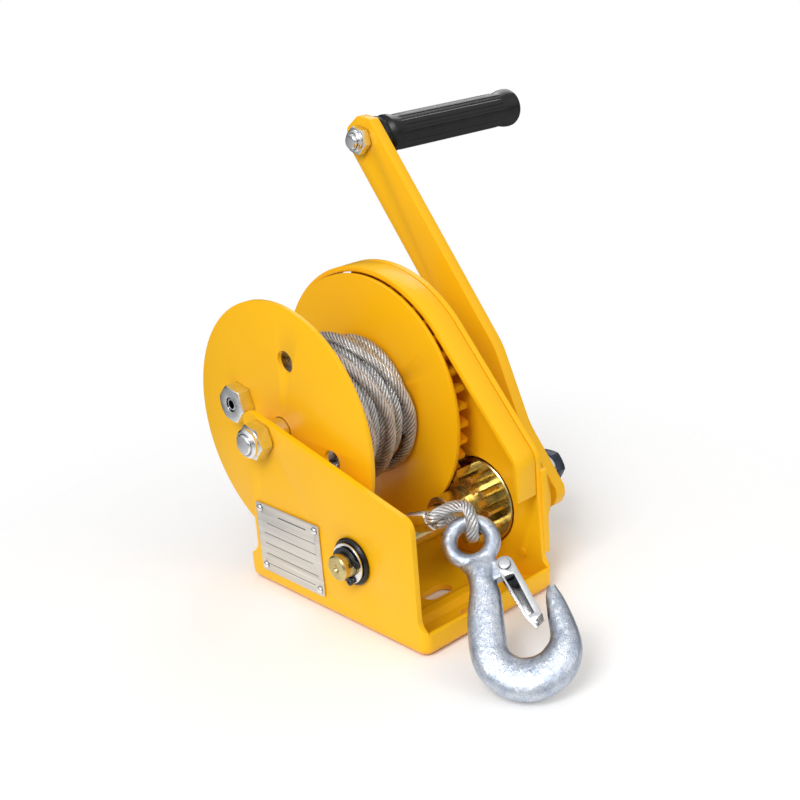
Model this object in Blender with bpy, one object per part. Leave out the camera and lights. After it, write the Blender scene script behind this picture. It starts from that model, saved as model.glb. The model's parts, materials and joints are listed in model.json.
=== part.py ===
"""Boat trailer winch: a folded steel frame, a geared rope drum, a pinion shaft with a
friction-disc brake, a long crank with a turning grip, and a rope with a latched hook.

Sizes are millimetres until add_object() turns them into metres.  +X runs along the axles
towards the crank, -Y is the side the rope leaves, +Z is up.  The origin is the middle of
the base on the ground.
"""
import math

import bmesh
import bpy
from mathutils import Vector

MM = 0.001
GAP = 0.3                      # clearance between touching pieces

# Frame
SHEET = 3.5
HALF_WIDTH = 50.5
HALF_DEPTH = 75.0
LIP_HEIGHT = 13.0
CORNER_R = 6.0
INNER_LEFT = -HALF_WIDTH + SHEET
INNER_RIGHT = HALF_WIDTH - SHEET
BEAD_Y = 46.0                  # two pressed beads stiffen the floor, front and rear
BEAD_HALF = 7.0
BEAD_CREST = 3.0
BEAD_LIFT = 2.6
SLOT_HALF_LENGTH = 10.0
SLOT_R = 5.25
SLOT_ROWS = (-62.0, -32.0, 32.0, 62.0)

# Axes of the two shafts
DRUM_Y = 47.2
DRUM_Z = 94.2
PINION_Y = DRUM_Y - 69.9
PINION_Z = DRUM_Z - 53.7

# Left side plate
PLATE_FRONT = -70.2
PLATE_REAR = 63.8
PLATE_REAR_TOP = 109.7
PLATE_FRONT_TOP = 76.4
PLATE_RIVET_INSET = 3.6        # data plate rivets, in from its corners
PLATE_RIVET_R = 1.2

# Gear guard and the right side plate share one outline
GUARD_R = 78.6
GUARD_THICK = 2.3
GUARD_TANGENT = math.radians(40.0)
GUARD_FRONT = -67.7
GUARD_BEND_R = 14.0
GUARD_END_Z = 56.0
GUARD_LEFT = 31.5
PINION_HOLE_R = 26.9
BUSH_SEAT_R = 10.3
FLANGE_STRIP = 3.5             # front edge of the right plate, turned outwards

# Drum
FLANGE_R = 75.0
FLANGE_THICK = 2.5
FLANGE_LEFT = -36.3            # outer face of the left flange
FLANGE_RIGHT = 30.3            # outer face of the right flange
BARREL_R = 28.0
BARREL_WALL = 3.5
HUB_TUBE_R = 11.5
AXLE_R = 6.0
BUSH_R = 9.0
BUSH_LENGTH = 14.0
WINDOW_R = 6.5
WINDOW_CIRCLE = 43.5
WINDOW_ANGLES = (77.0, -11.0, 257.0)
ANCHOR_CIRCLE = 36.0
ANCHOR_ANGLE = 163.0
ANCHOR_AF = 20.0
ANCHOR_HEIGHT = 9.0
ANCHOR_SCREW_R = 4.0

# Gear pair
MODULE = 3.25
GEAR_TEETH = 42
PINION_TEETH = 12
PRESSURE = math.radians(20.0)
GEAR_THICK = 10.0
GEAR_TIP_R = 71.2
GEAR_ROOT_R = 64.1
GEAR_RIVET_CIRCLE = 34.0
GEAR_RIVET_R = 3.0
PINION_TIP_R = 22.8
PINION_ROOT_R = 15.6
PINION_END = 50.2
PINION_DISC_R = 25.5
PINION_DISC_LEFT = 46.5
TOOTH_THINNING = 0.20
COLLAR_R = 12.2
COLLAR_LEFT = 15.6
SHAFT_R = 8.25
JOURNAL_R = 7.2                # where the shaft turns in the left bush

# Rope
ROPE_R = 3.25
ROPE_PITCH = 6.6
COIL_R = 46.0
COIL_CORE_R = BARREL_R + GAP
TAIL_X = -29.4
TAIL_Z = 52.8                  # height of the rope where it passes over the shaft
TAIL_BEND = -18.0              # where the rope starts to bend towards its ferrule
TAIL_START = (DRUM_Y - 25.6, 53.0)

# Brake, outside the right side plate
COVER_R = 32.0
COVER_WALL = 2.0
COVER_END = 74.0
COVER_FLANGE_R = 37.0
BRAKE_R = 24.0
BRAKE_HUB_END = 66.4
THREAD_BORE_R = 7.3            # bore of the parts that screw onto the shaft's thread
RATCHET_TEETH = 12
RATCHET_TIP = 20.0
RATCHET_ROOT = 17.0
RATCHET_BORE_R = 11.8
PAWL_ANGLE = 60.0
PAWL_PIVOT_R = 26.0
PAWL_SPAN = 32.0
PAWL_PIN_R = 1.6
COVER_SCREW_CIRCLE = 34.3
COVER_SCREW_R = 1.6

# Crank
CRANK_R = 236.0
CRANK_ANGLE = math.radians(53.3)
ARM_HALF = 14.0
ARM_THICK = 8.0
ARM_INNER = 90.5               # inner face of the arm at the shaft
ARM_JOGGLE = 12.0
JOGGLE_START = 27.0
JOGGLE_END = 78.0
ARM_HOLE_R = 6.3
GRIP_Y = PINION_Y + CRANK_R * math.cos(CRANK_ANGLE)
GRIP_Z = PINION_Z + CRANK_R * math.sin(CRANK_ANGLE)
GRIP_LEFT = ARM_INNER + ARM_JOGGLE + ARM_THICK
GRIP_LENGTH = 128.0
GRIP_BOLT_R = 5.0

# Hook: it leans forward with its bowl near the ground
EYE_CENTRE = Vector((-15.6, -77.4, 55.0))
HOOK_DOWN = Vector((-0.364, -0.742, -0.564)).normalized()
HOOK_LEAN = Vector((0.775, -0.577, 0.258))
HOOK_SIDE = (HOOK_LEAN - HOOK_DOWN * HOOK_DOWN.dot(HOOK_LEAN)).normalized()
HOOK_NORMAL = HOOK_DOWN.cross(HOOK_SIDE)
EYE_MID_R = 11.4
EYE_SECTION_R = 4.1
BOWL_CENTRE = (8.5, 62.0)
BOWL_R = 19.0
# angle round the bowl, half width in its plane, half thickness
BOWL_SECTIONS = ((178.0, 9.6, 7.0), (205.0, 10.0, 7.2), (235.0, 10.6, 7.4), (265.0, 10.8, 7.4),
                 (295.0, 10.2, 7.2), (325.0, 9.0, 6.8), (352.0, 7.2, 6.0))
LATCH_PIN = (12.0, 21.0)
LUG_HALF = 3.6

# Rope end: a loop through the hook's eye, pressed into a ferrule
LEG_OFFSET = ROPE_R + 0.3
FERRULE_LENGTH = 12.0
FERRULE_START = (-15.0, -19.5)
FERRULE_PULL = Vector((-0.29, 0.913, -0.29)).normalized()
LOOP_BACK = 1.0                # the loop's legs end this far in front of the ferrule
# the loop's centre line in the hook's own directions: sideways, down from the eye, out of it
LOOP_POINTS = ((-9.0, -19.5, -4.2), (-3.0, -16.8, -6.8), (1.0, -11.5, -8.0), (2.2, -6.0, -6.0),
               (1.6, -2.8, 0.0), (3.4, -5.2, 5.8), (4.6, -10.6, 8.0), (3.4, -16.6, 7.2),
               (-2.5, -20.0, 5.2), (-9.0, -20.2, 4.2))

YELLOW = ("paint_yellow", (0.95, 0.42, 0.01), 0.0, 0.32)
ZINC = ("zinc_plate", (0.72, 0.73, 0.76), 1.0, 0.28)
GOLD_ZINC = ("yellow_zinc", (0.62, 0.50, 0.20), 1.0, 0.30)
STEEL = ("bright_steel", (0.62, 0.62, 0.62), 1.0, 0.35)
ROPE_STEEL = ("rope_steel", (0.50, 0.48, 0.44), 1.0, 0.42)
HOOK_ZINC = ("hook_zinc", (0.66, 0.69, 0.76), 1.0, 0.36)
BLACK = ("black_plastic", (0.015, 0.015, 0.017), 0.0, 0.30)
DARK_STEEL = ("black_oxide", (0.03, 0.035, 0.045), 0.8, 0.40)
BRONZE = ("bronze", (0.62, 0.40, 0.18), 1.0, 0.40)
LINING = ("brake_lining", (0.16, 0.12, 0.09), 0.0, 0.85)
PLATE_METAL = ("plate_aluminium", (0.70, 0.70, 0.68), 1.0, 0.45)


# ---------------------------------------------------------------- helpers

def make_material(finish):
    name, colour, metallic, roughness = finish
    material = bpy.data.materials.new(name)
    material.use_nodes = True
    shader = material.node_tree.nodes["Principled BSDF"]
    shader.inputs["Base Color"].default_value = (*colour, 1.0)
    shader.inputs["Metallic"].default_value = metallic
    shader.inputs["Roughness"].default_value = roughness
    return material


def add_object(name, bm, finish, origin=(0.0, 0.0, 0.0)):
    """Turn a bmesh in world millimetres into an object whose origin is at origin."""
    bmesh.ops.remove_doubles(bm, verts=bm.verts, dist=1e-5)
    bmesh.ops.recalc_face_normals(bm, faces=bm.faces)
    start = Vector(origin)
    for vert in bm.verts:
        vert.co = (vert.co - start) * MM
    mesh = bpy.data.meshes.new(name)
    bm.to_mesh(mesh)
    bm.free()
    mesh.shade_smooth()
    mesh.set_sharp_from_angle(angle=math.radians(32.0))
    mesh.materials.append(make_material(finish))
    obj = bpy.data.objects.new(name, mesh)
    obj.location = start * MM
    bpy.context.scene.collection.objects.link(obj)
    return obj


def boolean(target, name, bm, operation="DIFFERENCE"):
    """Cut, join or intersect target with a hidden helper solid."""
    helper = add_object(name, bm, YELLOW)
    helper.hide_render = True
    helper.display_type = "WIRE"
    modifier = target.modifiers.new(name, "BOOLEAN")
    modifier.operation = operation
    modifier.solver = "EXACT"
    modifier.object = helper


def slab(outline, place, near, far):
    """A prism: outline points (u, v) placed in space by place(u, v, t) from near to far."""
    bm = bmesh.new()
    low = [bm.verts.new(place(u, v, near)) for u, v in outline]
    high = [bm.verts.new(place(u, v, far)) for u, v in outline]
    bm.faces.new(low)
    bm.faces.new(high[::-1])
    count = len(outline)
    for i in range(count):
        j = (i + 1) % count
        bm.faces.new((low[i], low[j], high[j], high[i]))
    return bm


def plate(outline, near, far):
    """A prism of a (y, z) outline that runs along X."""
    return slab(outline, lambda u, v, t: (t, u, v), near, far)


def column(outline, near, far):
    """A prism of an (x, y) outline that runs along Z."""
    return slab(outline, lambda u, v, t: (u, v, t), near, far)


def turned(profile, y, z, segments=24, closed=False):
    """Turn profile points (x, radius) about an X axis through (y, z)."""
    bm = bmesh.new()
    rings = []
    for x, radius in profile:
        if radius == 0.0:
            rings.append([bm.verts.new((x, y, z))])
            continue
        ring = []
        for k in range(segments):
            angle = 2.0 * math.pi * k / segments
            ring.append(bm.verts.new((x, y + radius * math.cos(angle), z + radius * math.sin(angle))))
        rings.append(ring)
    pairs = list(zip(rings, rings[1:]))
    if closed:
        pairs.append((rings[-1], rings[0]))
    for a, b in pairs:
        for k in range(segments):
            m = (k + 1) % segments
            corners = [a[k % len(a)], a[m % len(a)], b[m % len(b)], b[k % len(b)]]
            unique = list(dict.fromkeys(corners))
            bm.faces.new(unique)
    return bm


def tube(x0, x1, inner, outer, y, z, segments=24):
    return turned([(x0, inner), (x0, outer), (x1, outer), (x1, inner)], y, z, segments, closed=True)


def rod(x0, x1, radius, y, z, segments=24):
    return turned([(x0, 0.0), (x0, radius), (x1, radius), (x1, 0.0)], y, z, segments)


def arc(cy, cz, radius, start, end, count):
    """Points on a circle from start to end, in degrees, both ends included."""
    points = []
    for k in range(count + 1):
        angle = math.radians(start + (end - start) * k / count)
        points.append((cy + radius * math.cos(angle), cz + radius * math.sin(angle)))
    return points


def hexagon(y, z, across_flats, turn=0.0):
    radius = across_flats / math.sqrt(3.0)
    return arc(y, z, radius, turn, turn + 300.0, 5)


def corner_between(a, corner, b, radius, count):
    """An arc that rounds the corner of the path a, corner, b."""
    p = Vector(corner)
    to_a = (Vector(a) - p).normalized()
    to_b = (Vector(b) - p).normalized()
    half = math.acos(max(-1.0, min(1.0, to_a.dot(to_b)))) / 2.0
    reach = radius / math.tan(half)
    centre = p + (to_a + to_b).normalized() * (radius / math.sin(half))
    first = p + to_a * reach - centre
    last = p + to_b * reach - centre
    turn = first.angle_signed(last)
    points = []
    for k in range(count + 1):
        angle = -turn * k / count
        points.append((centre.x + first.x * math.cos(angle) - first.y * math.sin(angle),
                       centre.y + first.x * math.sin(angle) + first.y * math.cos(angle)))
    return points


def sweep(points, halves, reference, sides=10, closed=False):
    """Sweep an ellipse along points; halves gives (in-plane, along reference) half sizes."""
    bm = bmesh.new()
    up = Vector(reference).normalized()
    count = len(points)
    rings = []
    for i, point in enumerate(points):
        before = points[(i - 1) % count] if closed or i > 0 else points[i]
        after = points[(i + 1) % count] if closed or i < count - 1 else points[i]
        tangent = (Vector(after) - Vector(before)).normalized()
        side = tangent.cross(up).normalized()
        up = side.cross(tangent)
        across, along = halves[i]
        ring = []
        for k in range(sides):
            angle = 2.0 * math.pi * k / sides
            offset = side * across * math.cos(angle) + up * along * math.sin(angle)
            ring.append(bm.verts.new(Vector(point) + offset))
        rings.append(ring)
    pairs = list(zip(rings, rings[1:]))
    if closed:
        pairs.append((rings[-1], rings[0]))
    else:
        bm.faces.new(rings[0])
        bm.faces.new(rings[-1][::-1])
    for a, b in pairs:
        for k in range(sides):
            m = (k + 1) % sides
            bm.faces.new((a[k], a[m], b[m], b[k]))
    return bm


def hook_point(side, down, out=0.0):
    """A point given in the hook's own plane: sideways, down from the eye, out of the plane."""
    return EYE_CENTRE + HOOK_SIDE * side + HOOK_DOWN * down + HOOK_NORMAL * out


def polar(radius, degrees, y=PINION_Y, z=PINION_Z):
    angle = math.radians(degrees)
    return (y + radius * math.cos(angle), z + radius * math.sin(angle))


# ---------------------------------------------------------------- frame and guard

def side_foot():
    """The strip along the ground that both side plates share, from rear to front."""
    return [(HALF_DEPTH, LIP_HEIGHT), (HALF_DEPTH, 0.0), (-HALF_DEPTH, 0.0), (-HALF_DEPTH, LIP_HEIGHT)]


def left_plate_outline():
    slope_end = (PLATE_FRONT, PLATE_FRONT_TOP)
    rear_top = (PLATE_REAR, PLATE_REAR_TOP)
    outline = side_foot()
    outline += arc(-HALF_DEPTH, LIP_HEIGHT + 4.8, 4.8, -90.0, 0.0, 3)[1:]
    outline += corner_between((PLATE_FRONT, 20.0), slope_end, rear_top, 9.0, 5)
    outline += corner_between(slope_end, rear_top, (PLATE_REAR, 20.0), 13.0, 6)
    outline += arc(PLATE_REAR + 8.0, LIP_HEIGHT + 8.0, 8.0, 180.0, 270.0, 3)
    return outline


def guard_path(offset):
    """Outline of the guard, moved inwards by offset, from the rear over the top to the front."""
    radius = GUARD_R - offset
    front = GUARD_FRONT + offset
    tangent_angle = 180.0 - math.degrees(GUARD_TANGENT)
    path = arc(DRUM_Y, DRUM_Z, radius, -5.0, tangent_angle, 26)
    start = path[-1]
    reach = (start[0] - front) / math.sin(GUARD_TANGENT)
    corner = (front, start[1] - reach * math.cos(GUARD_TANGENT))
    path += corner_between(start, corner, (front, 0.0), GUARD_BEND_R - offset, 6)
    return path


def right_plate_outline():
    outline = side_foot()
    outline += arc(-HALF_DEPTH, LIP_HEIGHT + 5.8, 5.8, -90.0, 0.0, 3)[1:]
    outline += [(y - 0.3, z) for y, z in guard_path(0.0)[::-1]]
    outline += arc(DRUM_Y, DRUM_Z, GUARD_R, -10.0, -25.0, 3)
    outline += arc(PLATE_REAR + 8.0, LIP_HEIGHT + 8.0, 8.0, 200.0, 270.0, 3)
    return outline


def floor_profile():
    """The (y, z) section of the floor with its two beads and both lips."""
    inner = HALF_DEPTH - SHEET
    bead = [(-BEAD_Y - BEAD_HALF, 0.0), (-BEAD_Y - BEAD_CREST, BEAD_LIFT)]
    bead += [(-BEAD_Y + BEAD_CREST, BEAD_LIFT), (-BEAD_Y + BEAD_HALF, 0.0)]
    top = [(-inner, LIP_HEIGHT), (-inner, SHEET)] + [(y, z + SHEET) for y, z in bead]
    bottom = bead[::-1] + [(-HALF_DEPTH, 0.0), (-HALF_DEPTH, LIP_HEIGHT)]
    return top + [(-y, z) for y, z in top[::-1]] + [(-y, z) for y, z in bottom[::-1]] + bottom


def corner_trim(sx, sy):
    """Cuts one upright corner of the base to a round of CORNER_R."""
    cx = sx * (HALF_WIDTH - CORNER_R)
    cy = sy * (HALF_DEPTH - CORNER_R)
    reach = CORNER_R + 2.0
    outline = [(cx + sx * u, cy + sy * v) for u, v in arc(0.0, 0.0, CORNER_R, 0.0, 90.0, 6)]
    outline += [(cx, cy + sy * reach), (cx + sx * reach, cy + sy * reach), (cx + sx * reach, cy)]
    return column(outline, -2.0, LIP_HEIGHT + 2.0)


def slot_outline(cy):
    right = [(x + SLOT_HALF_LENGTH - SLOT_R, y) for x, y in arc(0.0, cy, SLOT_R, -90.0, 90.0, 8)]
    left = [(x - SLOT_HALF_LENGTH + SLOT_R, y) for x, y in arc(0.0, cy, SLOT_R, 90.0, 270.0, 8)]
    return right + left


def nameplate_corners(inset):
    y0, y1 = 3.9 + inset, 59.8 - inset
    z0, z1 = 9.4 + inset, 52.8 - inset
    return [(y0, z0), (y1, z0), (y1, z1), (y0, z1)]


def build_frame():
    frame = add_object("frame", plate(floor_profile(), -HALF_WIDTH, HALF_WIDTH), YELLOW)
    boolean(frame, "left_wall", plate(left_plate_outline(), -HALF_WIDTH, INNER_LEFT), "UNION")
    boolean(frame, "right_wall", plate(right_plate_outline(), INNER_RIGHT, HALF_WIDTH), "UNION")
    strip = [(-69.2, 18.8), (-65.7, 18.8), (-65.7, 70.0), (-69.2, 70.0)]
    strip_end = HALF_WIDTH + FLANGE_STRIP
    boolean(frame, "right_strip", plate(strip, HALF_WIDTH - 1.0, strip_end), "UNION")
    for sx in (-1, 1):
        for sy in (-1, 1):
            boolean(frame, f"corner_trim_{sx}_{sy}", corner_trim(sx, sy))
    for i, cy in enumerate(SLOT_ROWS):
        boolean(frame, f"floor_slot_{i}", column(slot_outline(cy), -2.0, 12.0))
    left = (-HALF_WIDTH - 2.0, INNER_LEFT + 2.0)
    right = (INNER_RIGHT - 2.0, HALF_WIDTH + 2.0)
    boolean(frame, "pinion_opening", rod(*right, PINION_HOLE_R, PINION_Y, PINION_Z, 36))
    boolean(frame, "bush_seat", rod(*left, BUSH_SEAT_R, PINION_Y, PINION_Z))
    boolean(frame, "axle_hole_left", rod(*left, AXLE_R + GAP, DRUM_Y, DRUM_Z, 20))
    boolean(frame, "axle_hole_right", rod(*right, AXLE_R + GAP, DRUM_Y, DRUM_Z, 20))
    for i, (y, z) in enumerate(nameplate_corners(PLATE_RIVET_INSET)):
        boolean(frame, f"rivet_hole_{i}", rod(*left, PLATE_RIVET_R + GAP, y, z, 10))


def build_guard():
    outer = guard_path(0.0)
    inner = guard_path(GUARD_THICK)
    outline = outer + [(GUARD_FRONT, GUARD_END_Z), (GUARD_FRONT + GUARD_THICK, GUARD_END_Z)] + inner[::-1]
    add_object("gear_guard", plate(outline, GUARD_LEFT, INNER_RIGHT - GAP), YELLOW)


def build_nameplate():
    face = -HALF_WIDTH - GAP
    badge = add_object("data_plate", plate(nameplate_corners(0.0), face - 0.8, face), PLATE_METAL)
    head = face - 0.8 - GAP
    tip = -HALF_WIDTH + 2.5
    profile = [(head - 1.1, 0.0), (head - 1.1, 1.3), (head - 0.5, 2.1), (head, 2.2)]
    profile += [(head, PLATE_RIVET_R), (tip, PLATE_RIVET_R), (tip, 0.0)]
    for i, (y, z) in enumerate(nameplate_corners(PLATE_RIVET_INSET)):
        hole = rod(face - 2.0, face + 2.0, PLATE_RIVET_R + GAP, y, z, 10)
        boolean(badge, f"data_plate_hole_{i}", hole)
        add_object(f"data_plate_rivet_{i + 1}", turned(profile, y, z, 10), ZINC)


# ---------------------------------------------------------------- drum and its axle

def build_axle():
    """A long bolt through both plates, with its nut on the left."""
    head = HALF_WIDTH + 2.4 + 2 * GAP
    bolt = add_object("drum_axle_bolt", rod(-64.3, head + 2.0, AXLE_R, DRUM_Y, DRUM_Z, 24), ZINC)
    boolean(bolt, "axle_head", plate(hexagon(DRUM_Y, DRUM_Z, 18.0), head, head + 7.5), "UNION")
    washer = tube(HALF_WIDTH + GAP, HALF_WIDTH + GAP + 2.4, AXLE_R + GAP, 12.0, DRUM_Y, DRUM_Z)
    add_object("axle_washer", washer, ZINC)
    nut_end = -HALF_WIDTH - GAP
    nut = add_object("axle_nut", plate(hexagon(DRUM_Y, DRUM_Z, 18.5, 10.0), nut_end - 8.5, nut_end), ZINC)
    boolean(nut, "axle_nut_crown", rod(nut_end - 12.0, nut_end - 8.0, 8.3, DRUM_Y, DRUM_Z, 24), "UNION")
    bore = rod(nut_end - 14.0, nut_end + 2.0, AXLE_R + GAP, DRUM_Y, DRUM_Z, 20)
    boolean(nut, "axle_nut_bore", bore)
    left_gap = (INNER_LEFT + GAP, FLANGE_LEFT - GAP)
    add_object("axle_spacer_left", tube(*left_gap, AXLE_R + GAP, 7.8, DRUM_Y, DRUM_Z, 24), ZINC)
    right_gap = (FLANGE_RIGHT + GAP + GEAR_THICK + 2.0 + GAP, INNER_RIGHT - GAP)
    add_object("axle_spacer_right", tube(*right_gap, AXLE_R + GAP, 9.0, DRUM_Y, DRUM_Z, 24), ZINC)


def drum_origin():
    return (0.0, DRUM_Y, DRUM_Z)


def gear_rivet_places():
    return [polar(GEAR_RIVET_CIRCLE, 30.0 + 120.0 * i, DRUM_Y, DRUM_Z) for i in range(3)]


def build_drum():
    origin = drum_origin()
    hub_left = FLANGE_LEFT
    hub_right = FLANGE_RIGHT + GAP + GEAR_THICK + 2.0
    inner_left = FLANGE_LEFT + FLANGE_THICK
    inner_right = FLANGE_RIGHT - FLANGE_THICK
    hub = tube(hub_left, hub_right, BUSH_R + GAP, HUB_TUBE_R, DRUM_Y, DRUM_Z)
    add_object("drum_hub_tube", hub, YELLOW, origin)
    bushes = (("drum_bush_left", hub_left), ("drum_bush_right", hub_right - BUSH_LENGTH))
    for name, x0 in bushes:
        bush = tube(x0, x0 + BUSH_LENGTH, AXLE_R + GAP, BUSH_R, DRUM_Y, DRUM_Z)
        add_object(name, bush, BRONZE, origin)
    wall = (BARREL_R - BARREL_WALL, BARREL_R)
    barrel = tube(inner_left + GAP, inner_right - GAP, *wall, DRUM_Y, DRUM_Z)
    add_object("drum_barrel", barrel, YELLOW, origin)
    disc = tube(FLANGE_LEFT, inner_left, HUB_TUBE_R + GAP, FLANGE_R, DRUM_Y, DRUM_Z, 56)
    left_flange = add_object("drum_flange_left", disc, YELLOW, origin)
    for i, angle in enumerate(WINDOW_ANGLES):
        y, z = polar(WINDOW_CIRCLE, 180.0 - angle, DRUM_Y, DRUM_Z)
        window = rod(FLANGE_LEFT - 2.0, inner_left + 2.0, WINDOW_R, y, z, 16)
        boolean(left_flange, f"flange_window_{i}", window)
    disc = tube(inner_right, FLANGE_RIGHT, HUB_TUBE_R + GAP, FLANGE_R, DRUM_Y, DRUM_Z, 56)
    right_flange = add_object("drum_flange_right", disc, YELLOW, origin)
    for i, (y, z) in enumerate(gear_rivet_places()):
        hole = rod(inner_right - 2.0, FLANGE_RIGHT + 2.0, GEAR_RIVET_R + GAP, y, z, 10)
        boolean(right_flange, f"flange_rivet_hole_{i}", hole)
    build_anchor(origin)


def build_anchor(origin):
    """A hexagon boss on the left flange with a socket screw that clamps the rope's inner end."""
    y, z = polar(ANCHOR_CIRCLE, 180.0 - ANCHOR_ANGLE, DRUM_Y, DRUM_Z)
    base = FLANGE_LEFT - GAP
    outline = hexagon(y, z, ANCHOR_AF, 12.0)
    boss = add_object("rope_anchor_boss", plate(outline, base - ANCHOR_HEIGHT, base), ZINC, origin)
    bore = rod(base - ANCHOR_HEIGHT - 2.0, base + 2.0, ANCHOR_SCREW_R + GAP, y, z, 20)
    boolean(boss, "anchor_bore", bore)
    face = base - ANCHOR_HEIGHT + 0.6
    shank = rod(face, base - 0.2, ANCHOR_SCREW_R, y, z, 20)
    screw = add_object("rope_anchor_screw", shank, ZINC, origin)
    boolean(screw, "anchor_socket", plate(hexagon(y, z, 4.0), face - 2.0, face + 3.5))


def involute(radius, base_r):
    roll = math.acos(min(1.0, base_r / radius))
    return math.tan(roll) - roll


def tooth_half_angle(radius, pitch_r, base_r, half_at_pitch):
    """Half the angle a tooth fills at radius."""
    return half_at_pitch + involute(pitch_r, base_r) - involute(max(radius, base_r), base_r)


def gear_outline(teeth, tip_r, root_r, y, z, phase, flank):
    """An involute gear outline; phase is where one tooth points, in radians."""
    pitch_r = MODULE * teeth / 2.0
    base_r = pitch_r * math.cos(PRESSURE)
    half = math.pi / (2.0 * teeth) - TOOTH_THINNING / (2.0 * pitch_r)
    start = max(root_r, base_r)
    radii = [start + (tip_r - start) * k / flank for k in range(flank + 1)]
    angles = [(r, tooth_half_angle(r, pitch_r, base_r, half)) for r in radii]
    root_half = angles[0][1] * (0.85 if root_r < base_r else 1.1)
    angles = [(root_r, root_half)] + angles[(0 if root_r < base_r - 0.2 else 1):]
    outline = []
    for tooth in range(teeth):
        middle = phase + 2.0 * math.pi * tooth / teeth
        for r, a in angles:
            outline.append((y + r * math.cos(middle - a), z + r * math.sin(middle - a)))
        for r, a in angles[::-1]:
            outline.append((y + r * math.cos(middle + a), z + r * math.sin(middle + a)))
    return outline


def mesh_direction():
    """Angle of the line from the drum axis to the pinion axis."""
    return math.atan2(PINION_Z - DRUM_Z, PINION_Y - DRUM_Y)


def build_drum_gear():
    x0 = FLANGE_RIGHT + GAP
    x1 = x0 + GEAR_THICK
    size = (GEAR_TEETH, GEAR_TIP_R, GEAR_ROOT_R)
    outline = gear_outline(*size, DRUM_Y, DRUM_Z, mesh_direction(), 2)
    gear = add_object("drum_gear", plate(outline, x0, x1), YELLOW, drum_origin())
    boolean(gear, "gear_bore", rod(x0 - 2.0, x1 + 2.0, HUB_TUBE_R + GAP, DRUM_Y, DRUM_Z))
    near = FLANGE_RIGHT - FLANGE_THICK
    far = x1 + GAP
    profile = [(near, 0.0), (near, GEAR_RIVET_R), (far, GEAR_RIVET_R)]
    profile += [(far, 5.5), (far + 1.5, 4.6), (far + 2.4, 2.2), (far + 2.4, 0.0)]
    for i, (y, z) in enumerate(gear_rivet_places()):
        hole = rod(x0 - 2.0, x1 + 2.0, GEAR_RIVET_R + GAP, y, z, 10)
        boolean(gear, f"gear_rivet_hole_{i}", hole)
        add_object(f"gear_rivet_{i + 1}", turned(profile, y, z, 10), ZINC, drum_origin())


def build_rope_coil():
    """The wound rope as one ribbed solid; its ribs are the turns of the outer layer."""
    left = FLANGE_LEFT + FLANGE_THICK + GAP
    right = FLANGE_RIGHT - FLANGE_THICK - GAP
    turns = int((right - left) / ROPE_PITCH)
    margin = ((right - left) - turns * ROPE_PITCH) / 2.0
    profile = [(left, COIL_CORE_R), (left, COIL_R - 2.0)]
    for i in range(turns):
        middle = left + margin + (i + 0.5) * ROPE_PITCH
        profile += [(middle - 1.6, COIL_R - 0.4), (middle + 1.6, COIL_R - 0.4)]
        profile += [(middle + ROPE_PITCH / 2.0, COIL_R - 2.4)]
    profile += [(right, COIL_R - 2.4), (right, COIL_CORE_R)]
    coil = turned(profile, DRUM_Y, DRUM_Z, 24, closed=True)
    add_object("rope_coil", coil, ROPE_STEEL, drum_origin())


# ---------------------------------------------------------------- pinion shaft and brake

def crank_origin():
    return (0.0, PINION_Y, PINION_Z)


def build_pinion_shaft():
    origin = crank_origin()
    end = -HALF_WIDTH - 12.1
    groove = (-HALF_WIDTH - 6.4, -HALF_WIDTH - 4.8)
    shoulder = INNER_LEFT + 2.0
    profile = [(end, 0.0), (end, JOURNAL_R - 0.8), (end + 0.8, JOURNAL_R), (groove[0], JOURNAL_R)]
    profile += [(groove[0], 6.4), (groove[1], 6.4), (groove[1], JOURNAL_R), (shoulder, JOURNAL_R)]
    profile += [(shoulder, SHAFT_R), (54.0, SHAFT_R), (54.0, 7.0), (90.0, 7.0)]
    profile += [(90.0, 5.2), (74.0, 5.2), (74.0, 0.0)]
    add_object("pinion_shaft", turned(profile, PINION_Y, PINION_Z, 24), GOLD_ZINC, origin)
    start = FLANGE_RIGHT + GAP + 0.5
    phase = mesh_direction() + math.pi + math.pi / PINION_TEETH
    size = (PINION_TEETH, PINION_TIP_R, PINION_ROOT_R)
    outline = gear_outline(*size, PINION_Y, PINION_Z, phase, 2)
    pinion = add_object("pinion_gear", plate(outline, start, PINION_DISC_LEFT + 0.1), GOLD_ZINC, origin)
    disc = rod(PINION_DISC_LEFT, PINION_END, PINION_DISC_R, PINION_Y, PINION_Z, 40)
    boolean(pinion, "pinion_disc", disc, "UNION")
    collar = rod(COLLAR_LEFT, start + 0.2, COLLAR_R, PINION_Y, PINION_Z)
    boolean(pinion, "pinion_collar", collar, "UNION")
    inside = (COLLAR_LEFT - 2.0, PINION_END + 2.0)
    boolean(pinion, "pinion_bore", rod(*inside, SHAFT_R + GAP, PINION_Y, PINION_Z))
    y, z = polar(11.0, 90.0)
    slot = [(y - 2.2, z - 4.0), (y + 2.2, z - 4.0), (y + 2.2, z), (y - 2.2, z)]
    boolean(pinion, "key_way", plate(slot, *inside))


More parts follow.
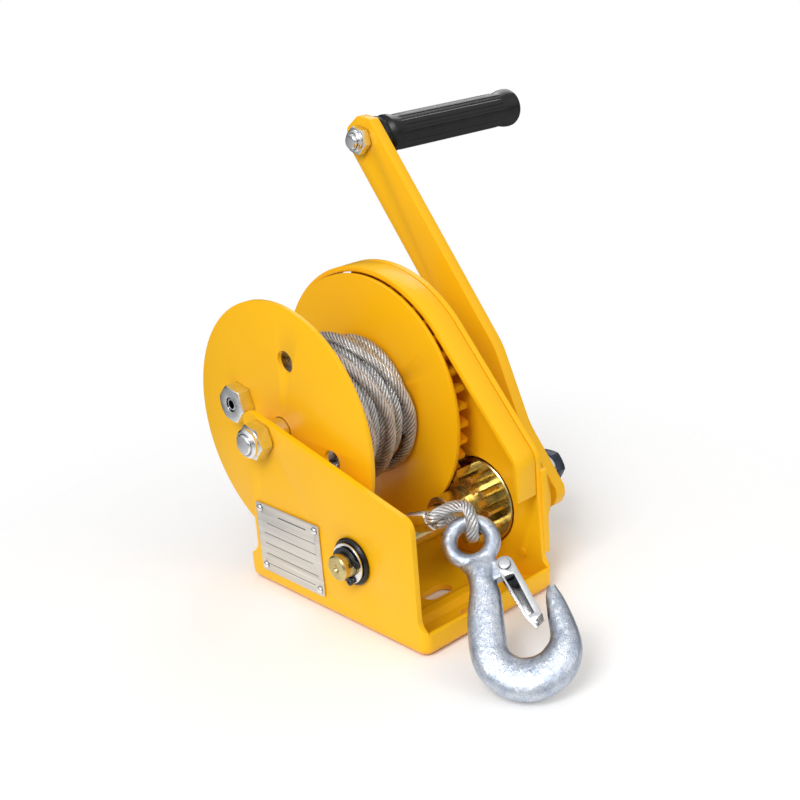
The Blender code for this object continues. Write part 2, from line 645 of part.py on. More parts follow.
def build_left_bearing():
    outer = -HALF_WIDTH
    bore = JOURNAL_R + GAP
    seat = BUSH_SEAT_R - GAP
    end = INNER_LEFT + 1.5
    profile = [(outer - 2.5, bore), (outer - 2.5, 13.4), (outer - GAP, 13.4), (outer - GAP, seat)]
    profile += [(end, seat), (end, bore)]
    bush = turned(profile, PINION_Y, PINION_Z, 20, closed=True)
    add_object("pinion_bush_left", bush, BLACK)
    washer = tube(outer - 4.3, outer - 2.8, bore, 11.4, PINION_Y, PINION_Z)
    add_object("shaft_washer", washer, ZINC, crank_origin())
    ring = arc(PINION_Y, PINION_Z, 9.6, -105.0, 165.0, 14)
    ring += arc(PINION_Y, PINION_Z, 6.7, 165.0, -105.0, 14)
    clip = add_object("shaft_circlip", plate(ring, outer - 6.1, outer - 5.1), DARK_STEEL, crank_origin())
    for i, angle in enumerate((-105.0, 165.0)):
        y, z = polar(9.6, angle)
        boolean(clip, f"circlip_lug_{i}", rod(outer - 6.1, outer - 5.1, 2.3, y, z, 12), "UNION")


def cover_screw_places():
    return [polar(COVER_SCREW_CIRCLE, 30.0 + 120.0 * i) for i in range(3)]


def build_right_bearing():
    base = HALF_WIDTH + GAP
    housing = tube(base, base + 3.0, 11.3, COVER_FLANGE_R, PINION_Y, PINION_Z, 32)
    holder = add_object("bearing_plate", housing, YELLOW)
    y, z = polar(PAWL_PIVOT_R, PAWL_ANGLE + PAWL_SPAN)
    boolean(holder, "pawl_pin_hole", rod(base - 1.0, base + 4.0, PAWL_PIN_R + GAP, y, z, 12))
    for i, (y, z) in enumerate(cover_screw_places()):
        hole = rod(base - 1.0, base + 4.0, COVER_SCREW_R + GAP, y, z, 10)
        boolean(holder, f"holder_screw_hole_{i}", hole)
    bush = tube(base, base + 2.9, SHAFT_R + GAP, 11.0, PINION_Y, PINION_Z)
    add_object("pinion_bush_right", bush, BRONZE)


def ratchet_outline(y, z):
    """Saw teeth: the radius climbs slowly with the angle, then drops."""
    outline = []
    step = 360.0 / RATCHET_TEETH
    for tooth in range(RATCHET_TEETH):
        start = PAWL_ANGLE - 1.5 + step * tooth
        for share in (0.0, 0.33, 0.66, 0.98):
            radius = RATCHET_ROOT + (RATCHET_TIP - RATCHET_ROOT) * share
            angle = math.radians(start + step * share)
            outline.append((y + radius * math.cos(angle), z + radius * math.sin(angle)))
    return outline


def pawl_outline():
    tip = polar(RATCHET_ROOT + 0.55, PAWL_ANGLE)
    heel = polar(RATCHET_ROOT + 4.0, PAWL_ANGLE - 1.0)
    pivot = polar(PAWL_PIVOT_R, PAWL_ANGLE + PAWL_SPAN)
    back = arc(pivot[0], pivot[1], 3.1, PAWL_ANGLE + PAWL_SPAN - 10.0, PAWL_ANGLE + PAWL_SPAN + 185.0, 9)
    return [tip, heel] + back


def build_brake():
    origin = crank_origin()
    base = HALF_WIDTH + 3.0 + 2 * GAP
    flange = [(base, THREAD_BORE_R), (base, BRAKE_R), (base + 3.2, BRAKE_R), (base + 3.2, 11.4)]
    flange += [(BRAKE_HUB_END, 11.4), (BRAKE_HUB_END, THREAD_BORE_R)]
    flange = turned(flange, PINION_Y, PINION_Z, closed=True)
    add_object("brake_flange", flange, STEEL, origin)
    disc_in = base + 3.2 + GAP
    wheel = disc_in + 2.3 + GAP
    disc_out = wheel + 4.0 + GAP
    hub = disc_out + 2.3 + GAP
    for name, x0 in (("friction_disc_inner", disc_in), ("friction_disc_outer", disc_out)):
        disc = tube(x0, x0 + 2.3, RATCHET_BORE_R, 16.4, PINION_Y, PINION_Z)
        add_object(name, disc, LINING, origin)
    saw = ratchet_outline(PINION_Y, PINION_Z)
    ratchet = add_object("ratchet_wheel", plate(saw, wheel, wheel + 4.0), STEEL, origin)
    bore = rod(wheel - 2.0, wheel + 6.0, RATCHET_BORE_R, PINION_Y, PINION_Z)
    boolean(ratchet, "ratchet_bore", bore)
    end = ARM_INNER - GAP
    nose = [(hub, THREAD_BORE_R), (hub, BRAKE_R), (hub + 3.0, BRAKE_R), (hub + 4.0, 12.0)]
    nose += [(end, 12.0), (end, THREAD_BORE_R)]
    add_object("crank_hub", turned(nose, PINION_Y, PINION_Z, closed=True), ZINC, origin)
    build_pawl(wheel)


def build_pawl(wheel):
    pivot = polar(PAWL_PIVOT_R, PAWL_ANGLE + PAWL_SPAN)
    place = (0.0, pivot[0], pivot[1])
    pawl = add_object("pawl", plate(pawl_outline(), wheel, wheel + 4.0), STEEL, place)
    boolean(pawl, "pawl_bore", rod(wheel - 2.0, wheel + 6.0, PAWL_PIN_R + GAP, *pivot, 12))
    add_object("pawl_pin", rod(HALF_WIDTH + GAP, wheel + 7.8, PAWL_PIN_R, *pivot, 12), STEEL)
    coil = []
    steps = 18
    for k in range(steps + 1):
        y, z = polar(2.4, 630.0 * k / steps, *pivot)
        coil.append((wheel + 4.7 + 1.5 * k / steps, y, z))
    wire = sweep(coil, [(0.35, 0.35)] * len(coil), (1.0, 0.0, 0.0), 5)
    add_object("pawl_spring", wire, STEEL)


def build_cover():
    base = HALF_WIDTH + 3.0 + 2 * GAP
    inner = COVER_R - COVER_WALL
    rim = base + 1.6
    bore = 12.7
    profile = [(base, inner), (base, COVER_FLANGE_R), (rim, COVER_FLANGE_R), (rim, COVER_R)]
    profile += [(COVER_END - 2.0, COVER_R), (COVER_END, COVER_R - 2.0), (COVER_END, bore)]
    profile += [(COVER_END - COVER_WALL, bore), (COVER_END - COVER_WALL, inner)]
    shell = turned(profile, PINION_Y, PINION_Z, 32, closed=True)
    cover = add_object("brake_cover", shell, YELLOW)
    head = rim + GAP
    tip = HALF_WIDTH + GAP + 0.4
    screw = [(tip, 0.0), (tip, COVER_SCREW_R), (head, COVER_SCREW_R), (head, 2.2)]
    screw += [(head + 1.4, 2.2), (head + 1.4, 0.0)]
    for i, (y, z) in enumerate(cover_screw_places()):
        hole = rod(base - 1.0, base + 3.0, COVER_SCREW_R + GAP, y, z, 10)
        boolean(cover, f"cover_screw_hole_{i}", hole)
        add_object(f"cover_screw_{i + 1}", turned(screw, y, z, 12), ZINC)


# ---------------------------------------------------------------- crank and grip

def arm_point(along, across):
    """A (y, z) point on the arm's face: along it from the shaft, and across it."""
    c, s = math.cos(CRANK_ANGLE), math.sin(CRANK_ANGLE)
    return (PINION_Y + along * c + across * s, PINION_Z + along * s - across * c)


def arm_shift(along):
    share = (along - JOGGLE_START) / (JOGGLE_END - JOGGLE_START)
    return ARM_JOGGLE * max(0.0, min(1.0, share))


def build_arm():
    top = CRANK_R + 13.5
    outline = [(-15.0, -ARM_HALF), (top - 8.0, -ARM_HALF), (top, -6.0), (top, 7.0)]
    outline += [(top - 6.5, ARM_HALF), (-15.0, ARM_HALF)]
    outline += [(-19.5, 11.5), (-22.5, 6.0), (-22.5, -6.0), (-19.5, -11.5)]
    bm = slab(outline, lambda u, v, t: (t, u, v), 0.0, ARM_THICK)
    for along in (JOGGLE_START, JOGGLE_END):
        geometry = list(bm.verts) + list(bm.edges) + list(bm.faces)
        cut = (0.0, along, 0.0)
        bmesh.ops.bisect_plane(bm, geom=geometry, plane_co=cut, plane_no=(0.0, 1.0, 0.0))
    for vert in bm.verts:
        along, across = vert.co.y, vert.co.z
        y, z = arm_point(along, across)
        vert.co = Vector((ARM_INNER + vert.co.x + arm_shift(along), y, z))
    arm = add_object("crank_arm", bm, YELLOW, crank_origin())
    hole = rod(ARM_INNER - 2.0, ARM_INNER + ARM_THICK + 2.0, ARM_HOLE_R, PINION_Y, PINION_Z, 20)
    boolean(arm, "arm_hub_hole", hole)
    far = ARM_INNER + ARM_JOGGLE
    hole = rod(far - 2.0, far + ARM_THICK + 2.0, GRIP_BOLT_R + GAP, GRIP_Y, GRIP_Z, 20)
    boolean(arm, "arm_grip_hole", hole)


def build_crank_bolt():
    origin = crank_origin()
    face = ARM_INNER + ARM_THICK + GAP
    washer = tube(face, face + 2.4, ARM_HOLE_R, 12.5, PINION_Y, PINION_Z)
    add_object("crank_washer", washer, ZINC, origin)
    spring = face + 2.4 + GAP
    washer = tube(spring, spring + 2.6, ARM_HOLE_R, 9.8, PINION_Y, PINION_Z)
    add_object("crank_spring_washer", washer, ZINC, origin)
    head = spring + 2.6 + GAP
    profile = [(75.0, 0.0), (75.0, 4.9), (90.3, 4.9), (90.3, 5.9), (head + 1.0, 5.9)]
    profile += [(head + 1.0, 0.0)]
    shank = turned(profile, PINION_Y, PINION_Z, 20)
    bolt = add_object("crank_bolt", shank, DARK_STEEL, origin)
    hexagonal = plate(hexagon(PINION_Y, PINION_Z, 18.0), head, head + 7.5)
    boolean(bolt, "crank_bolt_head", hexagonal, "UNION")


def build_grip():
    origin = crank_origin()
    right = GRIP_LEFT + GRIP_LENGTH
    face = GRIP_LEFT - ARM_THICK
    block = plate(hexagon(GRIP_Y, GRIP_Z, 16.0, 15.0), face - GAP - 8.0, face - GAP)
    nut = add_object("grip_nut", block, ZINC, origin)
    bore = rod(face - 12.0, face + 2.0, GRIP_BOLT_R + GAP, GRIP_Y, GRIP_Z, 20)
    boolean(nut, "grip_nut_bore", bore)
    washer = tube(GRIP_LEFT + GAP, GRIP_LEFT + 1.5, GRIP_BOLT_R + GAP, 10.0, GRIP_Y, GRIP_Z)
    add_object("grip_washer", washer, ZINC, origin)
    shank = rod(face - 10.6, right - 6.0, GRIP_BOLT_R, GRIP_Y, GRIP_Z, 20)
    bolt = add_object("grip_bolt", shank, ZINC, origin)
    head = plate(hexagon(GRIP_Y, GRIP_Z, 15.0), right - 8.0, right - 2.0)
    boolean(bolt, "grip_bolt_head", head, "UNION")
    start = GRIP_LEFT + 1.8
    bore_r = GRIP_BOLT_R + 0.35
    pocket = right - 8.3
    profile = [(start, bore_r), (start, 12.2), (start + 3.0, 12.6), (start + 5.0, 10.2)]
    profile += [(start + 7.0, 10.2), (start + 9.5, 12.6), (start + 12.0, 12.4), (start + 17.0, 11.2)]
    profile += [(right - 14.0, 11.2), (right - 7.0, 12.6), (right - 2.5, 12.8), (right, 11.6)]
    profile += [(right, 9.2), (pocket, 9.2), (pocket, bore_r)]
    grip = turned(profile, GRIP_Y, GRIP_Z, 22, closed=True)
    add_object("grip", grip, BLACK, (0.0, GRIP_Y, GRIP_Z))


# ---------------------------------------------------------------- rope end and hook

def loop_frame():
    """Where the rope's loop enters its ferrule, and how its two legs lie side by side there."""
    start = hook_point(*FERRULE_START)
    across = (HOOK_NORMAL - FERRULE_PULL * FERRULE_PULL.dot(HOOK_NORMAL)).normalized()
    return start, across


def smooth_path(points, steps):
    """A curve through all points, with steps pieces between each pair."""
    extended = [points[0] * 2.0 - points[1]] + points + [points[-1] * 2.0 - points[-2]]
    path = []
    for i in range(1, len(extended) - 2):
        a, b, c, d = extended[i - 1:i + 3]
        for k in range(steps):
            t = k / steps
            bend = (a * 2.0 - b * 5.0 + c * 4.0 - d) * t * t + (b * 3.0 - a - c * 3.0 + d) * t ** 3
            path.append((b * 2.0 + (c - a) * t + bend) * 0.5)
    return path + [points[-1]]


def loop_path():
    """Rope centre line: out of the ferrule, through the eye and back beside itself."""
    mouth, across = loop_frame()
    start = mouth - FERRULE_PULL * LOOP_BACK
    near = start - across * LEG_OFFSET
    far = start + across * LEG_OFFSET
    points = [near - FERRULE_PULL * 2.0]
    points += [hook_point(*place) for place in LOOP_POINTS]
    points += [far - FERRULE_PULL * 2.0]
    return [near] + smooth_path(points, 2) + [far]


def tail_path():
    """From the underside of the coil, over the shaft, round a bend and into the ferrule."""
    start, across = loop_frame()
    mouth = start + FERRULE_PULL * (FERRULE_LENGTH + 2 * GAP) - across * LEG_OFFSET
    bend = Vector((TAIL_X, TAIL_BEND, TAIL_Z))
    handle = (bend - mouth).length / 3.0
    first = bend - Vector((0.0, handle, 0.0))
    last = mouth + FERRULE_PULL * handle
    points = [Vector((TAIL_X, *TAIL_START))]
    for k in range(8):
        t = k / 7
        u = 1.0 - t
        points.append(bend * u ** 3 + first * 3.0 * t * u * u + last * 3.0 * t * t * u + mouth * t ** 3)
    return points


def build_rope_end():
    start, across = loop_frame()
    path = loop_path()
    section = (ROPE_R, ROPE_R)
    add_object("rope_eye", sweep(path, [section] * len(path), HOOK_DOWN), ROPE_STEEL)
    tail = tail_path()
    add_object("rope_tail", sweep(tail, [section] * len(tail), (0.0, 0.0, 1.0)), ROPE_STEEL)
    mouth = start + FERRULE_PULL * GAP
    end = mouth + FERRULE_PULL * FERRULE_LENGTH
    stations = [mouth, mouth + FERRULE_PULL * 0.8, end - FERRULE_PULL * 0.8, end]
    sizes = [(7.2, 3.9), (8.0, 4.7), (8.0, 4.7), (7.2, 3.9)]
    flat = FERRULE_PULL.cross(across)
    add_object("rope_ferrule", sweep(stations, sizes, flat, 16), PLATE_METAL)
    stub = end + FERRULE_PULL * GAP + across * LEG_OFFSET
    stub = sweep([stub, stub + FERRULE_PULL * 4.0], [section] * 2, flat)
    add_object("rope_dead_end", stub, ROPE_STEEL)


def hook_stations():
    """Centre line of the hook below its eye, with half width and half thickness."""
    shank = [((0.0, 10.2), 9.0, 3.9), ((-0.2, 14.0), 9.2, 4.4)]
    shank += [((-0.6, 17.5), 7.4, 5.0), ((-1.7, 23.5), 6.4, 5.4)]
    shank += [((-3.0, 32.0), 8.2, 6.0), ((-7.3, 46.0), 9.4, 6.6)]
    bowl = []
    for degrees, width, thick in BOWL_SECTIONS:
        angle = math.radians(-degrees)
        centre = (BOWL_CENTRE[0] + BOWL_R * math.cos(angle), BOWL_CENTRE[1] + BOWL_R * math.sin(angle))
        bowl.append((centre, width, thick))
    point = [((28.6, 52.0), 5.6, 5.0), ((29.2, 44.0), 4.0, 4.0), ((29.8, 38.5), 2.2, 2.4)]
    return shank + bowl + point


def build_hook():
    eye = [hook_point(u, v) for u, v in arc(0.0, 0.0, EYE_MID_R, 0.0, 345.0, 23)]
    section = (EYE_SECTION_R, EYE_SECTION_R)
    ring = sweep(eye, [section] * len(eye), HOOK_NORMAL, 8, closed=True)
    hook = add_object("hook", ring, HOOK_ZINC, EYE_CENTRE)
    stations = hook_stations()
    places = [hook_point(*place) for place, _, _ in stations]
    shank = sweep(places, [(width, thick) for _, width, thick in stations], HOOK_NORMAL, 12)
    boolean(hook, "hook_shank", shank, "UNION")
    lug = arc(*LATCH_PIN, 4.6, -90.0, 90.0, 8) + [(2.0, 25.6), (2.0, 16.4)]
    boolean(hook, "hook_lug", slab(lug, hook_point, -LUG_HALF, LUG_HALF), "UNION")
    boolean(hook, "hook_lug_bore", slab(pin_circle(2.0), hook_point, -8.0, 8.0))


def pin_circle(radius):
    """A circle about the latch pin, in the hook's plane."""
    return arc(*LATCH_PIN, radius, 0.0, 330.0, 11)


def latch_channel():
    """Outline of the latch from the side: round at its pin, tapering to the hook's point."""
    x, y = LATCH_PIN
    return arc(x, y, 4.6, 0.0, -190.0, 9) + [(x + 0.2, 47.5), (x + 3.5, 55.0), (x + 8.6, 52.5)]


def build_latch():
    pin = hook_point(*LATCH_PIN)
    outer = LUG_HALF + GAP + 1.3
    body = slab(latch_channel(), hook_point, -outer, outer)
    latch = add_object("hook_latch", body, ZINC, pin)
    inner = LUG_HALF + GAP
    x, y = LATCH_PIN
    hollow = [(x - 9.0, y - 9.0), (x + 6.5, y - 9.0), (x + 5.6, y + 6.0), (x + 6.9, y + 30.5)]
    hollow += [(x + 4.8, y + 34.4), (x - 9.0, y + 34.4)]
    boolean(latch, "latch_hollow", slab(hollow, hook_point, -inner, inner))
    window = [(x - 9.0, y + 6.0), (x + 2.4, y + 6.0), (x + 5.0, y + 27.0), (x - 9.0, y + 27.0)]
    boolean(latch, "latch_open_side", slab(window, hook_point, -outer - 1.0, outer + 1.0))
    boolean(latch, "latch_bore", slab(pin_circle(1.9), hook_point, -9.0, 9.0))
    shaft = slab(pin_circle(1.6), hook_point, -outer - 0.8, outer + 0.8)
    rivet = add_object("latch_rivet", shaft, ZINC, pin)
    head = pin_circle(2.8)
    boolean(rivet, "latch_rivet_head_a", slab(head, hook_point, outer + GAP, outer + 1.6), "UNION")
    boolean(rivet, "latch_rivet_head_b", slab(head, hook_point, -outer - 1.6, -outer - GAP), "UNION")


def main():
    for obj in list(bpy.data.objects):
        bpy.data.objects.remove(obj, do_unlink=True)
    build_frame()
    build_guard()
    build_nameplate()
    build_axle()
    build_drum()
    build_drum_gear()
    build_rope_coil()
    build_pinion_shaft()
    build_left_bearing()
    build_right_bearing()
    build_brake()
    build_cover()
    build_arm()
    build_crank_bolt()
    build_grip()
    build_rope_end()
    build_hook()
    build_latch()


main()
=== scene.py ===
"""Looks for the boat trailer winch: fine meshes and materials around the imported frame.

Builders work in millimetres; make_object() turns them into metres.  +X runs along the shafts
towards the crank, -Y is the side the rope leaves, +Z is up.
"""
import json
import math

import bmesh
import bpy
import numpy as np
from mathutils import Matrix, Vector, noise


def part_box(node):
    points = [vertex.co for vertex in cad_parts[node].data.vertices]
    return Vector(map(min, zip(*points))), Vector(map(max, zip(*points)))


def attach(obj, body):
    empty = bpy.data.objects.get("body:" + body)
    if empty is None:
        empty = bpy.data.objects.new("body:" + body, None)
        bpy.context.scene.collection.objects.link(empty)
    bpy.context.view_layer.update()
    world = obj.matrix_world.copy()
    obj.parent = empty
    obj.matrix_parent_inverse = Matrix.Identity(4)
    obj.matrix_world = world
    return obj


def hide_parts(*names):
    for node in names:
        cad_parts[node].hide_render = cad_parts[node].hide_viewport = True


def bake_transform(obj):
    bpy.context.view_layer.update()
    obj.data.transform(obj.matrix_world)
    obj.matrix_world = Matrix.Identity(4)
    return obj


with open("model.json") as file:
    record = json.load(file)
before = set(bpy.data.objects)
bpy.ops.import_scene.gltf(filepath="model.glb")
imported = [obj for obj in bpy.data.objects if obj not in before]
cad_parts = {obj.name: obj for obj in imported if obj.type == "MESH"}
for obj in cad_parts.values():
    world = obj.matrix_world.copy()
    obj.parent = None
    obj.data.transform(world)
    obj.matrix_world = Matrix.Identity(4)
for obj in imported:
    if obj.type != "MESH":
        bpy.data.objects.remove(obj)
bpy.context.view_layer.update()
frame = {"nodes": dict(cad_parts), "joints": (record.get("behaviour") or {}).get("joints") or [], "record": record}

MM = 0.001
GAP = 0.3
SMOOTH_ANGLE = math.radians(34.0)


# ---------------------------------------------------------------- places read from the frame

def joint(name):
    """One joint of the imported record."""
    return next(item for item in frame["joints"] if item["name"] == name)


def place_of(name):
    """A joint's place in millimetres."""
    return Vector(joint(name)["pos_m"]) / MM


def span(node, axis):
    """Lowest and highest coordinate of a CAD node along one axis, in millimetres."""
    low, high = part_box(node)
    return low[axis] / MM, high[axis] / MM


def half_size(node, axis):
    low, high = span(node, axis)
    return (high - low) / 2.0


def centre_of(node):
    """The (y, z) middle of a CAD node."""
    return tuple(sum(span(node, axis)) / 2.0 for axis in (1, 2))


X, Y, Z = 0, 1, 2
SLOTS = {row["node"]: row["material_slot"] for row in frame["record"]["subparts"]}
BODIES = {node: body for body, nodes in frame["record"]["behaviour"]["bodies"].items() for node in nodes}
DRUM = place_of("drum_spin").yz
CRANK = place_of("crank_spin").yz
GRIP = place_of("grip_spin").yz
EYE = place_of("hook_swing")
LATCH = place_of("latch_open")
HOOK_NORMAL = Vector(joint("hook_swing")["axis"]).normalized()
LATCH_PIN = (12.0, 21.0)       # the latch pin in the hook's plane, from the eye
TO_LATCH = LATCH - EYE
HOOK_DOWN = (TO_LATCH * LATCH_PIN[1] + TO_LATCH.cross(HOOK_NORMAL) * LATCH_PIN[0]).normalized()
HOOK_SIDE = HOOK_NORMAL.cross(HOOK_DOWN)

HALF_WIDTH = -span("frame", X)[0]
HALF_DEPTH = -span("frame", Y)[0]
SHEET = 3.5
LIP = 13.0
INNER_LEFT = -HALF_WIDTH + SHEET
INNER_RIGHT = HALF_WIDTH - SHEET
FLANGE_R = half_size("drum_flange_left", Z)
FLANGE_RIGHT = span("drum_flange_right", X)[1]
BARREL_R = half_size("drum_barrel", Z)
COIL_R = half_size("rope_coil", Z)
GUARD_R = span("gear_guard", Z)[1] - DRUM.y
GUARD_THICK = 3.3
GUARD_FRONT = span("gear_guard", Y)[0]
GUARD_END_Z = span("gear_guard", Z)[0]
ROPE_R = 3.25
STRANDS = 8
STRAND_POINTS = 5              # points across one strand of the rope's section
WIRES = 3.0                    # stripes across one strand
DISC_LEFT = 46.5               # inner face of the disc behind the pinion's teeth
MODULE = 3.25
MESH_ANGLE = math.atan2(CRANK.y - DRUM.y, CRANK.x - DRUM.x)
CRANK_ANGLE = math.atan2(GRIP.y - CRANK.y, GRIP.x - CRANK.x)
CRANK_R = (GRIP - CRANK).length


# ---------------------------------------------------------------- shader helpers

class Nodes:
    """A small wrapper that keeps shader code short; owner is a material or a world."""

    def __init__(self, owner, coordinate="Object"):
        owner.use_nodes = True
        self.tree = owner.node_tree
        self.where = self.add("ShaderNodeTexCoord").outputs[coordinate]

    def add(self, kind, **values):
        node = self.tree.nodes.new(kind)
        for key, value in values.items():
            setattr(node, key, value)
        return node

    def link(self, output, target):
        self.tree.links.new(output, target)

    def feed(self, socket, value):
        """Give an input a value, or link it when the value is another node's output."""
        if hasattr(value, "is_output"):
            self.link(value, socket)
        else:
            socket.default_value = value

    def noise(self, scale, detail=3.0, rough=0.55, stretch=(1.0, 1.0, 1.0)):
        """Noise with features of about 1/scale metres."""
        mapping = self.add("ShaderNodeMapping")
        mapping.inputs["Scale"].default_value = stretch
        self.link(self.where, mapping.inputs["Vector"])
        texture = self.add("ShaderNodeTexNoise")
        for key, number in (("Scale", scale), ("Detail", detail), ("Roughness", rough)):
            texture.inputs[key].default_value = number
        self.link(mapping.outputs["Vector"], texture.inputs["Vector"])
        return texture.outputs["Fac"]

    def ramp(self, value, stops):
        """A colour ramp; stops are (position, colour)."""
        ramp = self.add("ShaderNodeValToRGB")
        elements = ramp.color_ramp.elements
        while len(elements) < len(stops):
            elements.new(0.5)
        for element, (position, colour) in zip(elements, stops):
            element.position = position
            element.color = (*colour, 1.0)
        self.link(value, ramp.inputs["Fac"])
        return ramp.outputs["Color"]

    def shades(self, value, low, high, start=0.30, end=0.70):
        """Turn a value from start to end into one colour that passes into another."""
        return self.ramp(value, ((start, low), (end, high)))

    def range(self, value, low, high, start=0.3, end=0.7):
        """Turn a value from start to end into low to high."""
        node = self.add("ShaderNodeMapRange")
        for key, number in (("From Min", start), ("From Max", end), ("To Min", low), ("To Max", high)):
            node.inputs[key].default_value = number
        self.link(value, node.inputs["Value"])
        return node.outputs["Result"]

    def mix(self, share, a, b):
        """Mix two colours; each is a socket or an (r, g, b)."""
        node = self.add("ShaderNodeMix", data_type="RGBA")
        self.feed(node.inputs[0], share)
        for key, value in ((6, a), (7, b)):
            self.feed(node.inputs[key], value if hasattr(value, "is_output") else (*value, 1.0))
        return node.outputs[2]

    def bump(self, height, strength, distance, below=None):
        node = self.add("ShaderNodeBump")
        node.inputs["Strength"].default_value = strength
        node.inputs["Distance"].default_value = distance
        self.link(height, node.inputs["Height"])
        if below is not None:
            self.link(below, node.inputs["Normal"])
        return node.outputs["Normal"]

    def crevice(self, distance):
        """1 in the open, towards 0 in corners."""
        node = self.add("ShaderNodeAmbientOcclusion")
        node.inputs["Distance"].default_value = distance
        node.samples = 6
        return node.outputs["AO"]


MATERIALS = {}


class Surface(Nodes):
    """A new material, kept in MATERIALS under its name, and its Principled shader."""

    def __init__(self, name):
        MATERIALS[name] = bpy.data.materials.new(name)
        super().__init__(MATERIALS[name])
        self.shader = self.tree.nodes["Principled BSDF"]

    def set(self, **values):
        """Set Principled inputs; underscores stand for spaces."""
        for key, value in values.items():
            self.feed(self.shader.inputs[key.replace("_", " ")], value)


def paint():
    """Gloss amber enamel with orange peel, and painted shade that deepens the colour in corners."""
    n = Surface("paint_yellow")
    colour = n.shades(n.noise(9.0, 2.0), (0.94, 0.485, 0.003), (0.97, 0.52, 0.006))
    # painted shade: ambient occlusion darkens the yellow towards deep orange in corners
    corner_shade = n.range(n.crevice(0.010), 0.60, 0.0, 0.0, 0.9)
    colour = n.mix(corner_shade, colour, (0.85, 0.27, 0.002))
    peel = n.noise(420.0, 1.5, 0.5)
    dust = n.noise(2600.0, 1.0, 0.5)
    normal = n.bump(dust, 0.05, 0.0001, n.bump(peel, 0.08, 0.0003))
    n.set(Base_Color=colour, Roughness=n.range(n.noise(60.0), 0.34, 0.44), Normal=normal)
    n.set(Coat_Weight=0.16, Coat_Roughness=0.10, Specular_IOR_Level=0.22)


def plated(name, low, high, rough=(0.15, 0.24), tint=None, corner=(0.003, 0.40, 0.0, 0.8)):
    """Bright plating: two close colours, cloudy roughness, a fine grain and painted shade darkening the corners;
    corner gives the shade's reach, strength and occlusion range.
    """
    n = Surface(name)
    colour = n.shades(n.noise(140.0, 4.0, 0.6), low, high, 0.32, 0.68)
    if tint is not None:
        colour = n.mix(n.range(n.noise(200.0, 2.0), 0.0, 0.30, 0.5, 0.7), colour, tint)
    # painted shade: ambient occlusion mixes the plating towards near black in corners
    reach, shade_depth, start, end = corner
    colour = n.mix(n.range(n.crevice(reach), shade_depth, 0.0, start, end), colour, (0.04, 0.038, 0.036))
    n.set(Base_Color=colour, Metallic=1.0, Roughness=n.range(n.noise(120.0), *rough))
    n.set(Normal=n.bump(n.noise(900.0), 0.04, 0.0002))


def forged_zinc():
    """Zinc over a rough forging: pits and hammered grain, cool and a little blue."""
    n = Surface("hook_zinc")
    stops = ((0.30, (0.38, 0.44, 0.55)), (0.55, (0.64, 0.69, 0.77)), (0.75, (0.82, 0.83, 0.88)))
    colour = n.ramp(n.noise(110.0, 4.0, 0.65), stops)
    speck = n.noise(1700.0, 3.0, 0.7)
    colour = n.mix(n.range(speck, 0.0, 0.65, 0.48, 0.70), colour, (0.16, 0.19, 0.26))
    pits = n.noise(1200.0, 4.0, 0.75)
    swell = n.noise(220.0, 2.0)
    normal = n.bump(pits, 0.55, 0.0004, n.bump(swell, 0.22, 0.0008))
    n.set(Base_Color=colour, Metallic=1.0, Roughness=n.range(n.noise(420.0), 0.26, 0.44), Normal=normal)


def wire_rope():
    """Steel strands: the mesh gives the strands, UV stripes give the wires in them, and the groove attribute
    paints shade in the gaps between strands.
    """
    n = Surface("rope_steel")
    uv = n.add("ShaderNodeUVMap", uv_map="lay").outputs["UV"]
    wave = n.add("ShaderNodeTexWave", wave_type="BANDS", bands_direction="DIAGONAL")
    wave.inputs["Scale"].default_value = 1.0
    wave.inputs["Distortion"].default_value = 0.3
    n.link(uv, wave.inputs["Vector"])
    stripe = wave.outputs["Fac"]
    grime = n.noise(240.0)
    steel = n.shades(grime, (0.60, 0.60, 0.60), (0.90, 0.90, 0.90))
    # painted shade: the groove attribute darkens the steel in the gaps between strands; the stripes draw the
    # wires' dark joints
    groove = n.add("ShaderNodeAttribute", attribute_name="groove").outputs["Fac"]
    wire_lines_and_groove_shade = n.add("ShaderNodeMath", operation="MAXIMUM")
    n.link(n.range(stripe, 0.35, 0.0, 0.0, 0.5), wire_lines_and_groove_shade.inputs[0])
    n.link(n.range(groove, 0.0, 0.92, 0.40, 0.95), wire_lines_and_groove_shade.inputs[1])
    colour = n.mix(wire_lines_and_groove_shade.outputs["Value"], steel, (0.06, 0.058, 0.056))
    n.set(Base_Color=colour, Metallic=0.85, Roughness=n.range(grime, 0.26, 0.40))
    n.set(Normal=n.bump(stripe, 0.45, 0.0003))


def moulded():
    """Shiny black moulded plastic with a faint grain and handling marks."""
    n = Surface("black_plastic")
    smudge = n.noise(70.0, 4.0, 0.6)
    n.set(Base_Color=n.shades(smudge, (0.005, 0.005, 0.006), (0.011, 0.011, 0.013)))
    n.set(Roughness=n.range(smudge, 0.22, 0.36), Normal=n.bump(n.noise(1600.0, 2.0), 0.08, 0.0002))
    n.set(Specular_IOR_Level=0.35)


def brushed_plate():
    """Satin aluminium, brushed along its length."""
    n = Surface("plate_aluminium")
    brush = n.noise(300.0, 3.0, 0.6, stretch=(1.0, 0.04, 1.6))
    n.set(Base_Color=n.shades(brush, (0.62, 0.60, 0.56), (0.80, 0.78, 0.74)), Metallic=0.85)
    n.set(Roughness=n.range(brush, 0.36, 0.52), Normal=n.bump(brush, 0.12, 0.0001))


def matt(name, low, high, rough, grain, strength):
    """A dull material: lining or ink."""
    n = Surface(name)
    n.set(Base_Color=n.shades(n.noise(grain, 4.0, 0.7), low, high, 0.35, 0.65), Roughness=rough)
    n.set(Normal=n.bump(n.noise(grain * 2.0), strength, 0.0004))


def black_oxide():
    """Blued steel: nearly black, a little metallic."""
    n = Surface("black_oxide")
    cloud = n.noise(260.0)
    n.set(Base_Color=n.shades(cloud, (0.028, 0.034, 0.048), (0.065, 0.075, 0.10)))
    n.set(Metallic=0.8, Roughness=n.range(cloud, 0.32, 0.46), Normal=n.bump(n.noise(900.0), 0.12, 0.0003))


